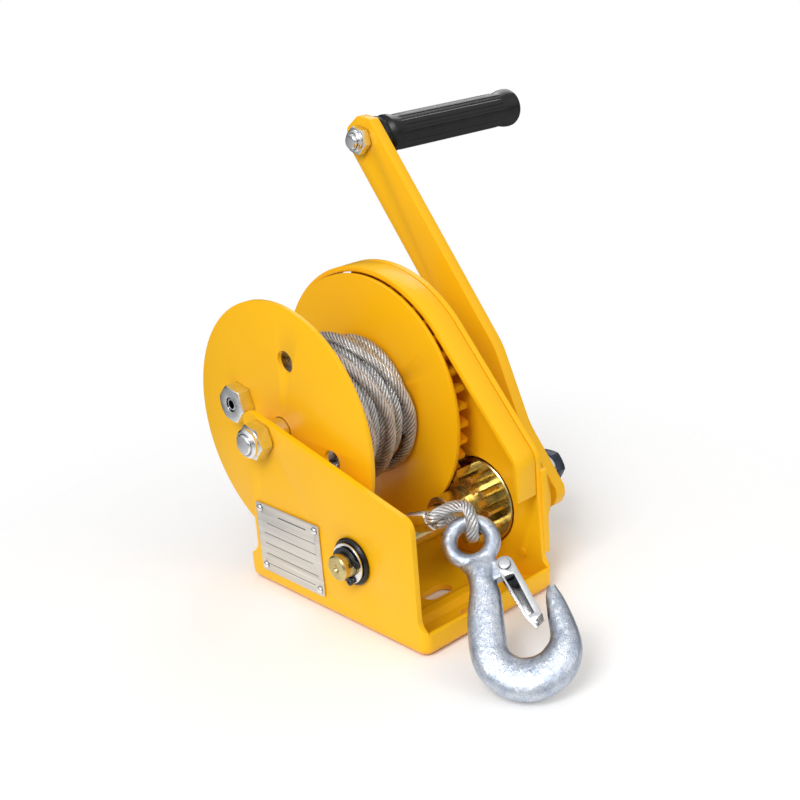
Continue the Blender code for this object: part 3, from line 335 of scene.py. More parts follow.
paint()
plated("zinc_plate", (0.74, 0.76, 0.79), (0.87, 0.88, 0.89))
plated("sleeve_metal", (0.70, 0.66, 0.60), (0.84, 0.80, 0.74), (0.12, 0.20))
# latch_zinc paints strong shade: ambient occlusion turns its hollows near black
plated("latch_zinc", (0.70, 0.72, 0.76), (0.84, 0.85, 0.87), corner=(0.011, 1.0, 0.50, 0.88))
plated("yellow_zinc", (0.48, 0.38, 0.16), (0.70, 0.59, 0.30), (0.22, 0.30), (0.40, 0.38, 0.18))
plated("bright_steel", (0.46, 0.45, 0.44), (0.64, 0.63, 0.62), (0.24, 0.40))
plated("bronze", (0.45, 0.27, 0.11), (0.66, 0.43, 0.20), (0.30, 0.48))
wire_rope()
forged_zinc()
moulded()
black_oxide()
brushed_plate()
matt("brake_lining", (0.07, 0.05, 0.04), (0.20, 0.15, 0.11), 0.85, 700.0, 0.5)
matt("etched_ink", (0.02, 0.02, 0.02), (0.05, 0.05, 0.05), 0.55, 500.0, 0.1)


# ---------------------------------------------------------------- mesh helpers

def arc(cy, cz, radius, start, end, count):
    """Points on a circle from start to end, in degrees, both ends included."""
    points = []
    for k in range(count + 1):
        angle = math.radians(start + (end - start) * k / count)
        points.append((cy + radius * math.cos(angle), cz + radius * math.sin(angle)))
    return points


def polar(radius, degrees, centre):
    angle = math.radians(degrees)
    return (centre[0] + radius * math.cos(angle), centre[1] + radius * math.sin(angle))


def circle(centre, radius, count, turn=0.0):
    """count points evenly round a centre; the first is at turn degrees."""
    return arc(*centre, radius, turn, turn + 360.0 - 360.0 / count, count - 1)


def clamp(value):
    """Keep a value from 0 to 1."""
    return max(0.0, min(1.0, value))


def fillet(points, radius, closed=True, steps=5, least=20.0):
    """Round every real corner of an outline with an arc of about radius."""
    done = []
    count = len(points)
    for i, point in enumerate(points):
        if not closed and i in (0, count - 1):
            done.append(tuple(point))
            continue
        corner = Vector(point)
        back = Vector(points[i - 1]) - corner
        ahead = Vector(points[(i + 1) % count]) - corner
        if back.length < 1e-6 or ahead.length < 1e-6:
            continue
        turn = math.pi - back.angle(ahead)
        if turn < math.radians(least) or turn > math.radians(175.0):
            done.append(tuple(point))
            continue
        reach = min(radius * math.tan(turn / 2.0), 0.48 * back.length, 0.48 * ahead.length)
        start = corner + back.normalized() * reach
        end = corner + ahead.normalized() * reach
        for k in range(steps + 1):
            t = k / steps
            mid = start * (1 - t) ** 2 + corner * 2 * t * (1 - t) + end * t ** 2
            done.append(tuple(mid))
    return done


def slab(outline, place, near, far):
    """A prism: outline points (u, v) placed in space by place(u, v, t) from near to far."""
    bm = bmesh.new()
    low = [bm.verts.new(place(u, v, near)) for u, v in outline]
    high = [bm.verts.new(place(u, v, far)) for u, v in outline]
    bm.faces.new(low)
    bm.faces.new(high[::-1])
    for i in range(len(outline)):
        j = (i + 1) % len(outline)
        bm.faces.new((low[i], low[j], high[j], high[i]))
    return bm


def plate(outline, near, far):
    """A prism of a (y, z) outline that runs along X."""
    return slab(outline, lambda u, v, t: (t, u, v), near, far)


def column(outline, near, far):
    """A prism of an (x, y) outline that runs along Z."""
    return slab(outline, lambda u, v, t: (u, v, t), near, far)


def turned(profile, centre, segments=96, closed=True, wobble=None):
    """Turn (x, radius) points about an X axis; wobble(x, radius, angle) may change a radius."""
    bm = bmesh.new()
    rings = []
    for x, radius in profile:
        if radius == 0.0:
            rings.append([bm.verts.new((x, *centre))])
            continue
        ring = []
        for k in range(segments):
            angle = 2.0 * math.pi * k / segments
            r = radius if wobble is None else wobble(x, radius, angle)
            y, z = centre[0] + r * math.cos(angle), centre[1] + r * math.sin(angle)
            ring.append(bm.verts.new((x, y, z)))
        rings.append(ring)
    pairs = list(zip(rings, rings[1:]))
    if closed:
        pairs.append((rings[-1], rings[0]))
    for a, b in pairs:
        for k in range(segments):
            m = (k + 1) % segments
            corners = list(dict.fromkeys((a[k % len(a)], a[m % len(a)], b[m % len(b)], b[k % len(b)])))
            if len(corners) > 2:
                bm.faces.new(corners)
    return bm


def lathe(profile, centre, segments=64):
    """Turn a profile that starts and ends on the axis into a solid."""
    return turned(profile, centre, segments, closed=False)


def ring_of(x0, x1, inner, outer, centre, soft=0.4, segments=96):
    """A washer or tube with softened edges."""
    profile = fillet([(x0, inner), (x0, outer), (x1, outer), (x1, inner)], soft)
    return turned(profile, centre, segments)


def rod(x0, x1, radius, centre, segments=64):
    return lathe([(x0, 0.0), (x0, radius), (x1, radius), (x1, 0.0)], centre, segments)


def drill(x0, x1, radius, centre, segments=64):
    """A cutter for a round hole right through a piece from x0 to x1."""
    return rod(x0 - 2.0, x1 + 2.0, radius, centre, segments)


def ring_at(bm, count, place):
    """A ring of count vertices; place(angle) gives the point for each."""
    return [bm.verts.new(place(2.0 * math.pi * k / count)) for k in range(count)]


def skin(bm, rings, capped=True):
    """Join each ring to the next; a skin that isn't capped runs on from the last to the first."""
    pairs = list(zip(rings, rings[1:]))
    if capped:
        bm.faces.new(rings[0][::-1])
        bm.faces.new(rings[-1])
    else:
        pairs.append((rings[-1], rings[0]))
    for a, b in pairs:
        for k in range(len(a)):
            m = (k + 1) % len(a)
            bm.faces.new((a[k], a[m], b[m], b[k]))
    return bm


def make_object(name, bm):
    bmesh.ops.remove_doubles(bm, verts=bm.verts, dist=1e-5)
    bmesh.ops.recalc_face_normals(bm, faces=bm.faces)
    bmesh.ops.scale(bm, vec=(MM, MM, MM), verts=bm.verts)
    mesh = bpy.data.meshes.new(name)
    bm.to_mesh(mesh)
    bm.free()
    obj = bpy.data.objects.new(name, mesh)
    bpy.context.scene.collection.objects.link(obj)
    return obj


def bake(obj):
    """Put the result of the modifiers into the mesh."""
    graph = bpy.context.evaluated_depsgraph_get()
    mesh = bpy.data.meshes.new_from_object(obj.evaluated_get(graph))
    obj.modifiers.clear()
    obj.data = mesh


def carve(obj, cutters, operation="DIFFERENCE"):
    """Cut, join or intersect obj with each solid in turn."""
    helpers = [make_object("helper", bm) for bm in cutters]
    for helper in helpers:
        modifier = obj.modifiers.new("carve", "BOOLEAN")
        modifier.operation = operation
        modifier.solver = "EXACT"
        modifier.object = helper
    if helpers:
        bake(obj)
    for helper in helpers:
        bpy.data.objects.remove(helper, do_unlink=True)


def finish_shape(obj, width=0.0, segments=2):
    """Soften the edges by width millimetres and shade the rest smooth."""
    if width > 0.0:
        modifier = obj.modifiers.new("soften", "BEVEL")
        modifier.width = width * MM
        modifier.segments = segments
        modifier.limit_method = "ANGLE"
        modifier.angle_limit = SMOOTH_ANGLE
        bake(obj)
    obj.data.shade_smooth()
    obj.data.set_sharp_from_angle(angle=SMOOTH_ANGLE)


def add_piece(obj, node, material=None, rides=True, instead=True):
    """Register a finished mesh: it takes a CAD node's finish and body, and stands instead of it."""
    obj.data.materials.clear()
    obj.data.materials.append(MATERIALS[material or SLOTS[node]])
    if rides:
        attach(obj, BODIES[node])
    if instead:
        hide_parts(node)


def complete(obj, node, width=0.0, segments=2, material=None, instead=True):
    """Soften a cut shape's edges and register it as a piece."""
    finish_shape(obj, width, segments)
    add_piece(obj, node, material, instead=instead)


def simple(name, bm, node, width=0.0, cutters=(), instead=True):
    """Build, cut, soften and register one piece."""
    obj = make_object(name, bm)
    carve(obj, cutters)
    complete(obj, node, width, instead=instead)


def hex_block(name, centre, x0, x1, across_flats, turn, chamfers):
    """A hexagon whose corners are turned off at the ends named in chamfers."""
    flat_r = across_flats / 2.0
    corner_r = across_flats / math.sqrt(3.0)
    block = make_object(name, plate(circle(centre, corner_r, 6, turn), x0, x1))
    full_r = corner_r + 0.2
    drop = (full_r - flat_r) * 0.55
    start = (x0, flat_r * 0.97) if "low" in chamfers else (x0, full_r)
    end = (x1, flat_r * 0.97) if "high" in chamfers else (x1, full_r)
    profile = [(x0, 0.0), start, (x0 + drop, full_r), (x1 - drop, full_r), end, (x1, 0.0)]
    carve(block, [lathe(profile, centre, 96)], "INTERSECT")
    return block


def lock_nut(piece, node, centre, across_flats, turn, rise, crown, soft, bore):
    """A hexagon nut whose low end stands rise above a crown of (reach, radius) points."""
    x0, x1 = span(node, X)
    nut = hex_block(piece, centre, x0 + rise, x1, across_flats, turn, ("low", "high"))
    profile = [(x0, 0.0)] + [(x0 + reach, radius) for reach, radius in crown]
    profile.append((x0 + crown[-1][0], 0.0))
    carve(nut, [lathe(fillet(profile, soft, False), centre)], "UNION")
    carve(nut, [drill(x0, x1, bore, centre)])
    complete(nut, node, 0.2)


# ---------------------------------------------------------------- frame, guard and data plate

def side_foot():
    return [(HALF_DEPTH, LIP), (HALF_DEPTH, 0.0), (-HALF_DEPTH, 0.0), (-HALF_DEPTH, LIP)]


def left_plate_outline():
    """Sloping top edge; the foot sweeps out to the front and rear lips."""
    front, front_top = -70.2, 76.4
    rear, rear_top = 63.8, 109.7
    inner = fillet([(-HALF_DEPTH, LIP), (front, LIP + 4.8), (front, front_top), (rear, rear_top),
                    (rear, LIP + 8.0), (HALF_DEPTH, LIP)], 9.0, closed=False, steps=8)
    return side_foot() + inner[1:-1]


def guard_path(offset):
    """The guard's outline moved inwards by offset, from the rear over the top to the front."""
    radius = GUARD_R - offset
    front = GUARD_FRONT + offset
    slope = math.radians(40.0)
    path = arc(DRUM.x, DRUM.y, radius, -5.0, 140.0, 96)
    start = path[-1]
    drop = (start[0] - front) / math.sin(slope) * math.cos(slope)
    bend = fillet([start, (front, start[1] - drop), (front, GUARD_END_Z)], 14.0 - offset, False, 14)
    return path + bend[1:]


def right_plate_outline():
    rear = 63.8
    path = [(y - 0.3, z) for y, z in guard_path(0.0)[::-1]]
    tail = arc(DRUM.x, DRUM.y, GUARD_R, -10.0, -25.0, 6)
    foot = arc(rear + 8.0, LIP + 8.0, 8.0, 200.0, 270.0, 8)
    return side_foot() + arc(-HALF_DEPTH, LIP + 5.8, 5.8, -90.0, 0.0, 8)[1:] + path + tail + foot


def floor_outline():
    """(y, z) section of the floor: two pressed beads and a lip at each end."""
    inner = HALF_DEPTH - SHEET
    bead = [(-53.0, 0.0), (-49.0, 2.6), (-43.0, 2.6), (-39.0, 0.0)]
    top = [(-inner, LIP), (-inner, SHEET)] + [(y, z + SHEET) for y, z in bead]
    low = bead[::-1] + [(-HALF_DEPTH, 0.0), (-HALF_DEPTH, LIP)]
    outline = top + [(-y, z) for y, z in top[::-1]] + [(-y, z) for y, z in low[::-1]] + low
    return fillet(outline, 2.4, steps=4)


def rounded_block(corner, edge, height):
    """A tall block with rounded upright corners and rounded bottom edges."""
    bm = bmesh.new()
    rings = []
    levels = [(edge * (1.0 - math.sin(a)), edge * (1.0 - math.cos(a)))
              for a in (math.radians(15.0 * k) for k in range(6, -1, -1))]
    for z, inset in levels + [(height, 0.0)]:
        ring = []
        for k, (sx, sy) in enumerate(((1, 1), (-1, 1), (-1, -1), (1, -1))):
            cx = sx * (HALF_WIDTH - corner)
            cy = sy * (HALF_DEPTH - corner)
            quarter = arc(cx, cy, corner - inset, 90.0 * k, 90.0 * k + 90.0, 10)
            ring += [bm.verts.new((x, y, z)) for x, y in quarter]
        rings.append(ring)
    return skin(bm, rings)


def slot_outline(cy):
    end = 4.75
    return arc(end, cy, 5.25, -90.0, 90.0, 16) + arc(-end, cy, 5.25, 90.0, 270.0, 16)


def rivet_places():
    """Middles of the data plate's four rivets."""
    return [centre_of(f"data_plate_rivet_{i + 1}") for i in range(4)]


def build_frame():
    """Floor, side plates, rounded outer edges, a strip and a pip on the right plate, all holes."""
    body = make_object("winch_frame", plate(floor_outline(), -HALF_WIDTH, HALF_WIDTH))
    carve(body, [plate(left_plate_outline(), -HALF_WIDTH, INNER_LEFT),
                 plate(right_plate_outline(), INNER_RIGHT, HALF_WIDTH)], "UNION")
    carve(body, [rounded_block(6.0, 4.5, 200.0)], "INTERSECT")
    strip = [(-69.2, 18.8), (-65.7, 18.8), (-65.7, 70.0), (-69.2, 70.0)]
    carve(body, [plate(fillet(strip, 1.4), HALF_WIDTH - 1.0, HALF_WIDTH + 3.5),
                 rod(INNER_RIGHT - 0.9, INNER_RIGHT + 1.0, 2.6, (-55.0, 17.0), 24)], "UNION")
    left = (-HALF_WIDTH, INNER_LEFT)
    right = (INNER_RIGHT, HALF_WIDTH)
    holes = [column(slot_outline(y), -2.0, 12.0) for y in (-62.0, -32.0, 32.0, 62.0)]
    holes += [drill(*right, 26.9, CRANK, 128), drill(*left, 10.3, CRANK)]
    holes += [drill(*left, 6.3, DRUM), drill(*right, 6.3, DRUM)]
    holes += [drill(*left, 1.5, place, 24) for place in rivet_places()]
    carve(body, holes)
    complete(body, "frame", 0.7, 3)


def build_guard():
    low, high = span("gear_guard", X)
    outline = guard_path(0.0) + guard_path(GUARD_THICK)[::-1]
    simple("guard_band", plate(outline, low, high), "gear_guard", 0.6)


def build_data_plate():
    """The aluminium plate with blank rules, and its four domed rivets."""
    face, back = span("data_plate", X)
    y0, y1 = span("data_plate", Y)
    z0, z1 = span("data_plate", Z)
    outline = fillet([(y0, z0), (y1, z0), (y1, z1), (y0, z1)], 1.6)
    holes = [rod(face - 2.0, face + 2.0, 1.5, place, 20) for place in rivet_places()]
    simple("badge_plate", plate(outline, face, back), "data_plate", 0.15, holes)
    rules = [(0.36, 0.80, 0.30), (0.16, 0.93, 0.16)]
    rules += [(0.10, 0.93 - 0.06 * (k % 2), 0.16) for k in range(4)]
    margin = 5.2
    bars = []
    for row, (start, end, half) in enumerate(rules):
        z = z1 - margin - row * (z1 - z0 - 2.0 * margin) / (len(rules) - 1)
        near, far = (y1 - share * (y1 - y0) for share in (start, end))
        outline = [(far, z - half), (near, z - half), (near, z + half), (far, z + half)]
        bars.append(plate(outline, face - 0.06, face + 0.02))
    ink = make_object("badge_rules", bars[0])
    carve(ink, bars[1:], "UNION")
    add_piece(ink, "data_plate", "etched_ink", instead=False)
    base = face - GAP
    tip = -HALF_WIDTH + 2.5
    dome = [(base - 1.1, 0.0), (base - 1.1, 1.0), (base - 0.75, 1.7), (base - 0.2, 2.15), (base, 2.2)]
    profile = dome + [(base, 1.2), (tip, 1.2), (tip, 0.0)]
    for i, place in enumerate(rivet_places()):
        rivet = lathe(profile, place, 32)
        simple(f"badge_rivet_{i + 1}", rivet, f"data_plate_rivet_{i + 1}")


# ---------------------------------------------------------------- drum

def gear_rivet_holes(x0, x1):
    return [drill(x0, x1, 3.3, centre_of(f"gear_rivet_{i}"), 32) for i in (1, 2, 3)]


def build_flanges():
    """Both discs; the outer one has three windows and covers the end of the hub tube."""
    bore = half_size("drum_hub_tube", Z) + GAP
    inner = half_size("axle_spacer_left", Z) + GAP
    x0, x1 = span("drum_flange_left", X)
    x0 -= 0.25
    step = x0 + 0.2
    profile = [(x0, inner), (x0, FLANGE_R), (x1, FLANGE_R), (x1, bore), (step, bore), (step, inner)]
    window_r, window_circle = 6.5, 43.5
    places = [polar(window_circle, angle, DRUM) for angle in (103.0, 191.0, -77.0)]
    windows = [drill(x0, x1, window_r, place, 48) for place in places]
    disc = turned(profile, DRUM, 144)
    simple("flange_outer", disc, "drum_flange_left", 0.75, windows)
    x0, x1 = span("drum_flange_right", X)
    disc = turned([(x0, bore), (x0, FLANGE_R), (x1, FLANGE_R), (x1, bore)], DRUM, 144)
    holes = gear_rivet_holes(x0, x1)
    simple("flange_gear_side", disc, "drum_flange_right", 0.75, holes)


def build_anchor():
    """The hexagon that clamps the rope's inner end, plated, with a hollow screw in it."""
    centre = centre_of("rope_anchor_boss")
    x0, x1 = span("rope_anchor_boss", X)
    block = hex_block("anchor_hexagon", centre, x0, x1, 20.0, 12.0, ("low",))
    carve(block, [drill(x0, x1, 4.4, centre)])
    complete(block, "rope_anchor_boss", 0.3)
    face = span("rope_anchor_screw", X)[0]
    profile = [(face, 2.6), (face, 3.2), (face + 0.5, 4.0), (x1, 4.0), (x1, 0.0)]
    profile += [(face + 4.0, 0.0), (face + 4.0, 2.6)]
    screw = make_object("anchor_screw", turned(profile, centre, 48))
    # latch_zinc's painted shade darkens the screw's hollow socket
    complete(screw, "rope_anchor_screw", 0.1, 2, "latch_zinc")


def gear_outline(teeth, tip_r, root_r, centre, phase, flank):
    """An involute gear outline with rounded roots and tips; phase points at one tooth."""
    pitch_r = MODULE * teeth / 2.0
    base_r = pitch_r * math.cos(math.radians(20.0))
    pitch_roll = math.acos(base_r / pitch_r)
    half = math.pi / (2.0 * teeth) - 0.10 / pitch_r

    def half_angle(radius):
        roll = math.acos(min(1.0, base_r / max(radius, base_r)))
        return half + math.tan(pitch_roll) - pitch_roll - math.tan(roll) + roll

    start = max(root_r, base_r)
    radii = [start + (tip_r - start) * k / flank for k in range(flank + 1)]
    angles = [(radius, half_angle(radius)) for radius in radii]
    spread = 0.85 if root_r < base_r else 1.1
    angles = [(root_r, angles[0][1] * spread)] + angles[(0 if root_r < base_r - 0.2 else 1):]
    sides = [(r, -a) for r, a in angles] + [(r, a) for r, a in angles[::-1]]
    outline = []
    for tooth in range(teeth):
        middle = phase + 2.0 * math.pi * tooth / teeth
        outline += [(centre[0] + r * math.cos(middle + a), centre[1] + r * math.sin(middle + a))
                    for r, a in sides]
    return outline


def build_drum_gear():
    x0, x1 = span("drum_gear", X)
    outline = gear_outline(42, tip_r=71.2, root_r=64.1, centre=DRUM, phase=MESH_ANGLE, flank=5)
    holes = [drill(x0, x1, half_size("drum_hub_tube", Z) + GAP, DRUM, 96)] + gear_rivet_holes(x0, x1)
    simple("large_gear", plate(outline, x0, x1), "drum_gear", 0.35, holes)


# ---------------------------------------------------------------- rope

def lay_rope(name, points, node, lay=23.0, phase=0.0, rides=True, instead=True):
    """Sweep a stranded section along points; the strands twist once every lay millimetres."""
    path = [Vector(point) for point in points]
    tangents = []
    for i in range(len(path)):
        ahead = path[min(i + 1, len(path) - 1)]
        back = path[max(i - 1, 0)]
        tangents.append((ahead - back).normalized())
    side = tangents[0].orthogonal().normalized()
    bm = bmesh.new()
    groove = bm.verts.layers.float.new("groove")
    uv_layer = bm.loops.layers.uv.new("lay")
    count = STRANDS * STRAND_POINTS
    rings = []
    travelled = 0.0
    uvs = {}
    for i, (point, tangent) in enumerate(zip(path, tangents)):
        if i > 0:
            travelled += (point - path[i - 1]).length
        side = (side - tangent * side.dot(tangent)).normalized()
        rise = tangent.cross(side)
        twist = phase + 2.0 * math.pi * travelled / lay
        ring = []
        for k in range(count):
            angle = 2.0 * math.pi * k / count + twist
            height = math.sin(math.pi * (k % STRAND_POINTS) / STRAND_POINTS)
            r = ROPE_R * (0.80 + 0.20 * height ** 0.75)
            vert = bm.verts.new(point + side * r * math.cos(angle) + rise * r * math.sin(angle))
            # groove is 1 in the gaps between strands, where the rope material paints shade
            vert[groove] = 1.0 - height
            uvs[vert] = (travelled / 1.1, k / count * STRANDS * WIRES)
            ring.append(vert)
        rings.append(ring)
    for a, b in zip(rings, rings[1:]):
        for k in range(count):
            m = (k + 1) % count
            face = bm.faces.new((a[k], a[m], b[m], b[k]))
            for loop in face.loops:
                u, v = uvs[loop.vert]
                if m == 0 and loop.vert in (a[m], b[m]):
                    v = STRANDS * WIRES
                loop[uv_layer].uv = (u, v)
    bm.faces.new(rings[0][::-1])
    bm.faces.new(rings[-1])
    obj = make_object(name, bm)
    obj.data.shade_smooth()
    add_piece(obj, node, None, rides, instead)
    return obj


def coil_path(x_start, x_end, turns, radius, start_angle, cross, swell):
    """A wound layer: turns lie nearly square to the drum and step sideways once a turn."""
    points = []
    steps = int(turns * 110)
    for i in range(steps + 1):
        travelled = turns * i / steps
        whole = math.floor(travelled)
        step = clamp((travelled - whole - 0.5 + cross / 2.0) / cross)
        step = step * step * (3.0 - 2.0 * step)
        x = x_start + (x_end - x_start) * (whole + step) / turns
        angle = start_angle + 2.0 * math.pi * travelled
        wander = noise.noise(Vector((travelled * 1.7, radius, x_start)))
        r = radius + swell * wander
        points.append((x + 0.5 * wander, DRUM.x + r * math.cos(angle), DRUM.y + r * math.sin(angle)))
    return points


def build_coil():
    """A solid core, a close layer of turns and a loose outer one that crosses it."""
    low, high = span("rope_coil", X)
    left, right = low + ROPE_R + 0.2, high - ROPE_R - 0.2
    outer = COIL_R - ROPE_R
    core = ring_of(low, high, BARREL_R + GAP, outer - 7.0, DRUM, 0.5, 64)
    simple("rope_inner_turns", core, "rope_coil", instead=False)
    below = coil_path(left, right, 9, outer - 5.2, math.radians(200.0), 0.25, 0.5)
    lay_rope("rope_lower_layer", below, "rope_coil")
    above = coil_path(left + 5.0, right, 3.0, outer + 0.3, math.radians(-35.0), 0.24, 1.0)
    lay_rope("rope_upper_layer", above, "rope_coil", phase=0.4, instead=False)


# ---------------------------------------------------------------- shafts and bearings

def hex_bolt(piece, node, centre, across_flats, head_height, shank, width):
    """A bolt along X with its head at the high end; shank holds (reach from the tip, radius)."""
    tip, top = span(node, X)
    head = top - head_height
    block = hex_block(piece, centre, head, top, across_flats, 0.0, ("high",))
    profile = [(tip, 0.0)] + [(tip + reach, radius) for reach, radius in shank]
    profile += [(head + 1.0, shank[-1][1]), (head + 1.0, 0.0)]
    carve(block, [lathe(profile, centre)], "UNION")
    complete(block, node, width)


def build_fasteners():
    """The through bolts with their lock nuts, the crank's bolt and the plain washers."""
    lock_nut("axle_locknut", "axle_nut", DRUM, across_flats=18.5, turn=10.0, rise=3.4,
             crown=((0.0, 7.2), (1.2, 8.5), (4.0, 8.6)), soft=0.6, bore=6.3)
    lock_nut("grip_locknut", "grip_nut", GRIP, across_flats=16.0, turn=15.0, rise=2.2,
             crown=((0.0, 6.2), (0.8, 7.1), (2.6, 7.2)), soft=0.5, bore=5.3)
    hex_bolt("axle_through_bolt", "drum_axle_bolt", DRUM, across_flats=18.0, head_height=7.5,
             shank=((0.0, 5.2), (0.8, 6.0)), width=0.25)
    hex_bolt("grip_through_bolt", "grip_bolt", GRIP, across_flats=15.0, head_height=6.0,
             shank=((0.0, 4.2), (0.8, 5.0)), width=0.25)
    shoulder = 90.3 - span("crank_bolt", X)[0]
    hex_bolt("hub_bolt", "crank_bolt", CRANK, across_flats=18.0, head_height=7.5,
             shank=((0.0, 4.9), (shoulder, 4.9), (shoulder, 5.9)), width=0.3)
    for piece, node, hole, radius, centre in (
            ("axle_flat_washer", "axle_washer", 6.3, 12.0, DRUM),
            ("end_washer", "shaft_washer", 7.5, 11.4, CRANK),
            ("hub_washer", "crank_washer", 6.3, 12.5, CRANK),
            ("grip_flat_washer", "grip_washer", 5.3, 10.0, GRIP)):
        simple(piece, ring_of(*span(node, X), hole, radius, centre), node)


def build_shaft():
    """Plated shaft: a centre drilling in its outer end, a groove for the ring, a thick middle."""
    end = span("pinion_shaft", X)[0]
    groove_start, groove_end = (x + side * GAP for x, side in zip(span("shaft_circlip", X), (-1, 1)))
    journal, groove, middle, tail = 7.2, 6.4, 8.25, 7.0
    shoulder = INNER_LEFT + 2.0
    profile = [(end + 3.0, 0.0), (end + 1.0, 1.5), (end, 2.4), (end, journal - 1.0), (end + 1.0, journal)]
    profile += [(groove_start, journal), (groove_start, groove), (groove_end, groove), (groove_end, journal)]
    profile += [(shoulder, journal), (shoulder, middle), (54.0, middle), (54.0, tail), (90.0, tail)]
    profile += [(90.0, 5.2), (74.0, 5.2), (74.0, 0.0)]
    shaft = lathe(fillet(profile, 0.25, closed=False, steps=3), CRANK, 96)
    simple("drive_shaft", shaft, "pinion_shaft")


def build_pinion():
    """Twelve teeth with turned-off corners, a collar on one side and a disc behind them."""
    low, high = span("pinion_gear", X)
    start = FLANGE_RIGHT + GAP + 0.5
    phase = MESH_ANGLE + math.pi + math.pi / 12.0
    teeth = gear_outline(12, tip_r=22.8, root_r=15.6, centre=CRANK, phase=phase, flank=6)
    pinion = make_object("drive_pinion", plate(teeth, start, DISC_LEFT + 0.2))
    cone_end = DISC_LEFT + 2.0
    cone = [(start, 0.0), (start, 21.2), (start + 1.6, 23.6), (cone_end, 23.6), (cone_end, 0.0)]
    carve(pinion, [lathe(cone, CRANK, 96)], "INTERSECT")
    rim, edge = 25.5, 0.6
    disc = [(DISC_LEFT, 0.0), (DISC_LEFT, rim - edge), (DISC_LEFT + edge, rim), (high - edge, rim),
            (high, rim - edge), (high, 0.0)]
    carve(pinion, [lathe(disc, CRANK, 96)], "UNION")
    neck = [(low, 0.0), (low, 11.4), (low + 0.8, 12.2), (start + 0.3, 12.2), (start + 0.3, 0.0)]
    carve(pinion, [lathe(neck, CRANK, 96)], "UNION")
    carve(pinion, [drill(low, high, 8.55, CRANK)])
    complete(pinion, "pinion_gear", 0.3)


def build_left_bearing():
    """The plastic bush in the left plate and the retaining ring with its two eared ends."""
    outer = span("pinion_bush_left", X)[0]
    collar_end = -HALF_WIDTH - GAP
    inner_end = INNER_LEFT + 1.5
    profile = [(outer, 7.5), (outer, 12.6), (outer + 0.9, 13.4), (collar_end, 13.4), (collar_end, 10.0),
               (inner_end, 10.0), (inner_end, 7.5)]
    bush = turned(fillet(profile, 0.3, steps=3), CRANK, 96)
    simple("plastic_bush", bush, "pinion_bush_left")
    low, high = span("shaft_circlip", X)
    ends = (-105.0, 165.0)
    ring = arc(*CRANK, 9.6, *ends, 60) + arc(*CRANK, 6.7, *ends[::-1], 60)
    clip = make_object("end_clip", plate(ring, low, high))
    ears = [polar(9.6, angle, CRANK) for angle in ends]
    carve(clip, [rod(low, high, 2.3, ear, 32) for ear in ears], "UNION")
    carve(clip, [rod(low - 1.0, high + 1.0, 0.9, ear, 20) for ear in ears])
    complete(clip, "shaft_circlip", 0.15)


def build_brake_cover():
    """A spun cup over the brake, the plate that carries the bearing, and their three screws."""
    base, end = span("brake_cover", X)
    inner, outer, rim = 30.0, 32.0, half_size("brake_cover", Y)
    profile = [(base, inner), (base, rim), (base + 1.6, rim), (base + 1.6, outer), (end - 0.2, outer),
               (end - 0.2, 15.2), (end, 14.8), (end, 12.7), (end - 2.0, 12.7), (end - 2.0, inner)]
    shell = turned(fillet(profile, 2.2, steps=6), CRANK, 128)
    places = [polar(34.3, 30.0 + 120.0 * i, CRANK) for i in range(3)]
    holes = [rod(base - 1.0, base + 3.0, 1.9, place, 24) for place in places]
    simple("cover_cup", shell, "brake_cover", 0.0, holes)
    low, high = span("bearing_plate", X)
    profile = [(low, 11.3), (low, rim), (high, rim), (high, 11.3)]
    pivot = tuple(place_of("pawl_lift").yz)
    holes = [rod(low - 1.0, high + 1.0, 1.9, place, 24) for place in places + [pivot]]
    disc = turned(fillet(profile, 0.5, steps=3), CRANK, 128)
    simple("bearing_disc", disc, "bearing_plate", 0.0, holes)
    for i, (y, z) in enumerate(places):
        node = f"cover_screw_{i + 1}"
        tip, top = span(node, X)
        head = top - 1.4
        profile = [(tip, 0.0), (tip, 1.6), (head, 1.6), (head, 2.2), (head + 0.7, 2.2)]
        profile += [(top, 1.4), (top, 0.0)]
        slot = [(y - 2.4, z - 0.3), (y + 2.4, z - 0.3), (y + 2.4, z + 0.3), (y - 2.4, z + 0.3)]
        cut = plate(slot, top - 0.7, top + 1.0)
        screw = lathe(profile, (y, z), 32)
        simple(f"cover_fixing_{i + 1}", screw, node, 0.08, [cut])


# ---------------------------------------------------------------- crank and grip

def build_arm():
    """A flat bar with an outward joggle; its grip end is chamfered, its shaft end rounded."""
    inner, outer = span("crank_arm", X)
    thick, half = 8.0, 14.0
    joggle = outer - inner - thick
    top = CRANK_R + 13.5
    outline = [(-15.0, -half), (top - 8.0, -half), (top, -6.0), (top, 7.0), (top - 6.5, half), (-15.0, half)]
    outline += [(-19.5, 11.5), (-22.5, 6.0), (-22.5, -6.0), (-19.5, -11.5)]
    bm = plate(fillet(outline, 3.0, steps=4, least=15.0), 0.0, thick)
    start, stop = 27.0, 78.0
    for bend in (start, stop):
        for k in range(5):
            parts = list(bm.verts) + list(bm.edges) + list(bm.faces)
            along = Vector((0.0, bend - 5.0 + k * 2.5, 0.0))
            bmesh.ops.bisect_plane(bm, geom=parts, plane_co=along, plane_no=(0.0, 1.0, 0.0))
    c, s = math.cos(CRANK_ANGLE), math.sin(CRANK_ANGLE)
    for vert in bm.verts:
        t, along, across = vert.co
        ramps = [clamp((along + step - start) / (stop - start)) for step in (-4.0, -2.0, 0.0, 2.0, 4.0)]
        shift = joggle * sum(ramps) / len(ramps)
        vert.co = (inner + t + shift, CRANK.x + along * c + across * s, CRANK.y + along * s - across * c)
    holes = [drill(inner, inner + thick, 6.3, CRANK), drill(outer - thick, outer, 5.3, GRIP)]
    simple("arm_bar", bm, "crank_arm", 0.9, holes)


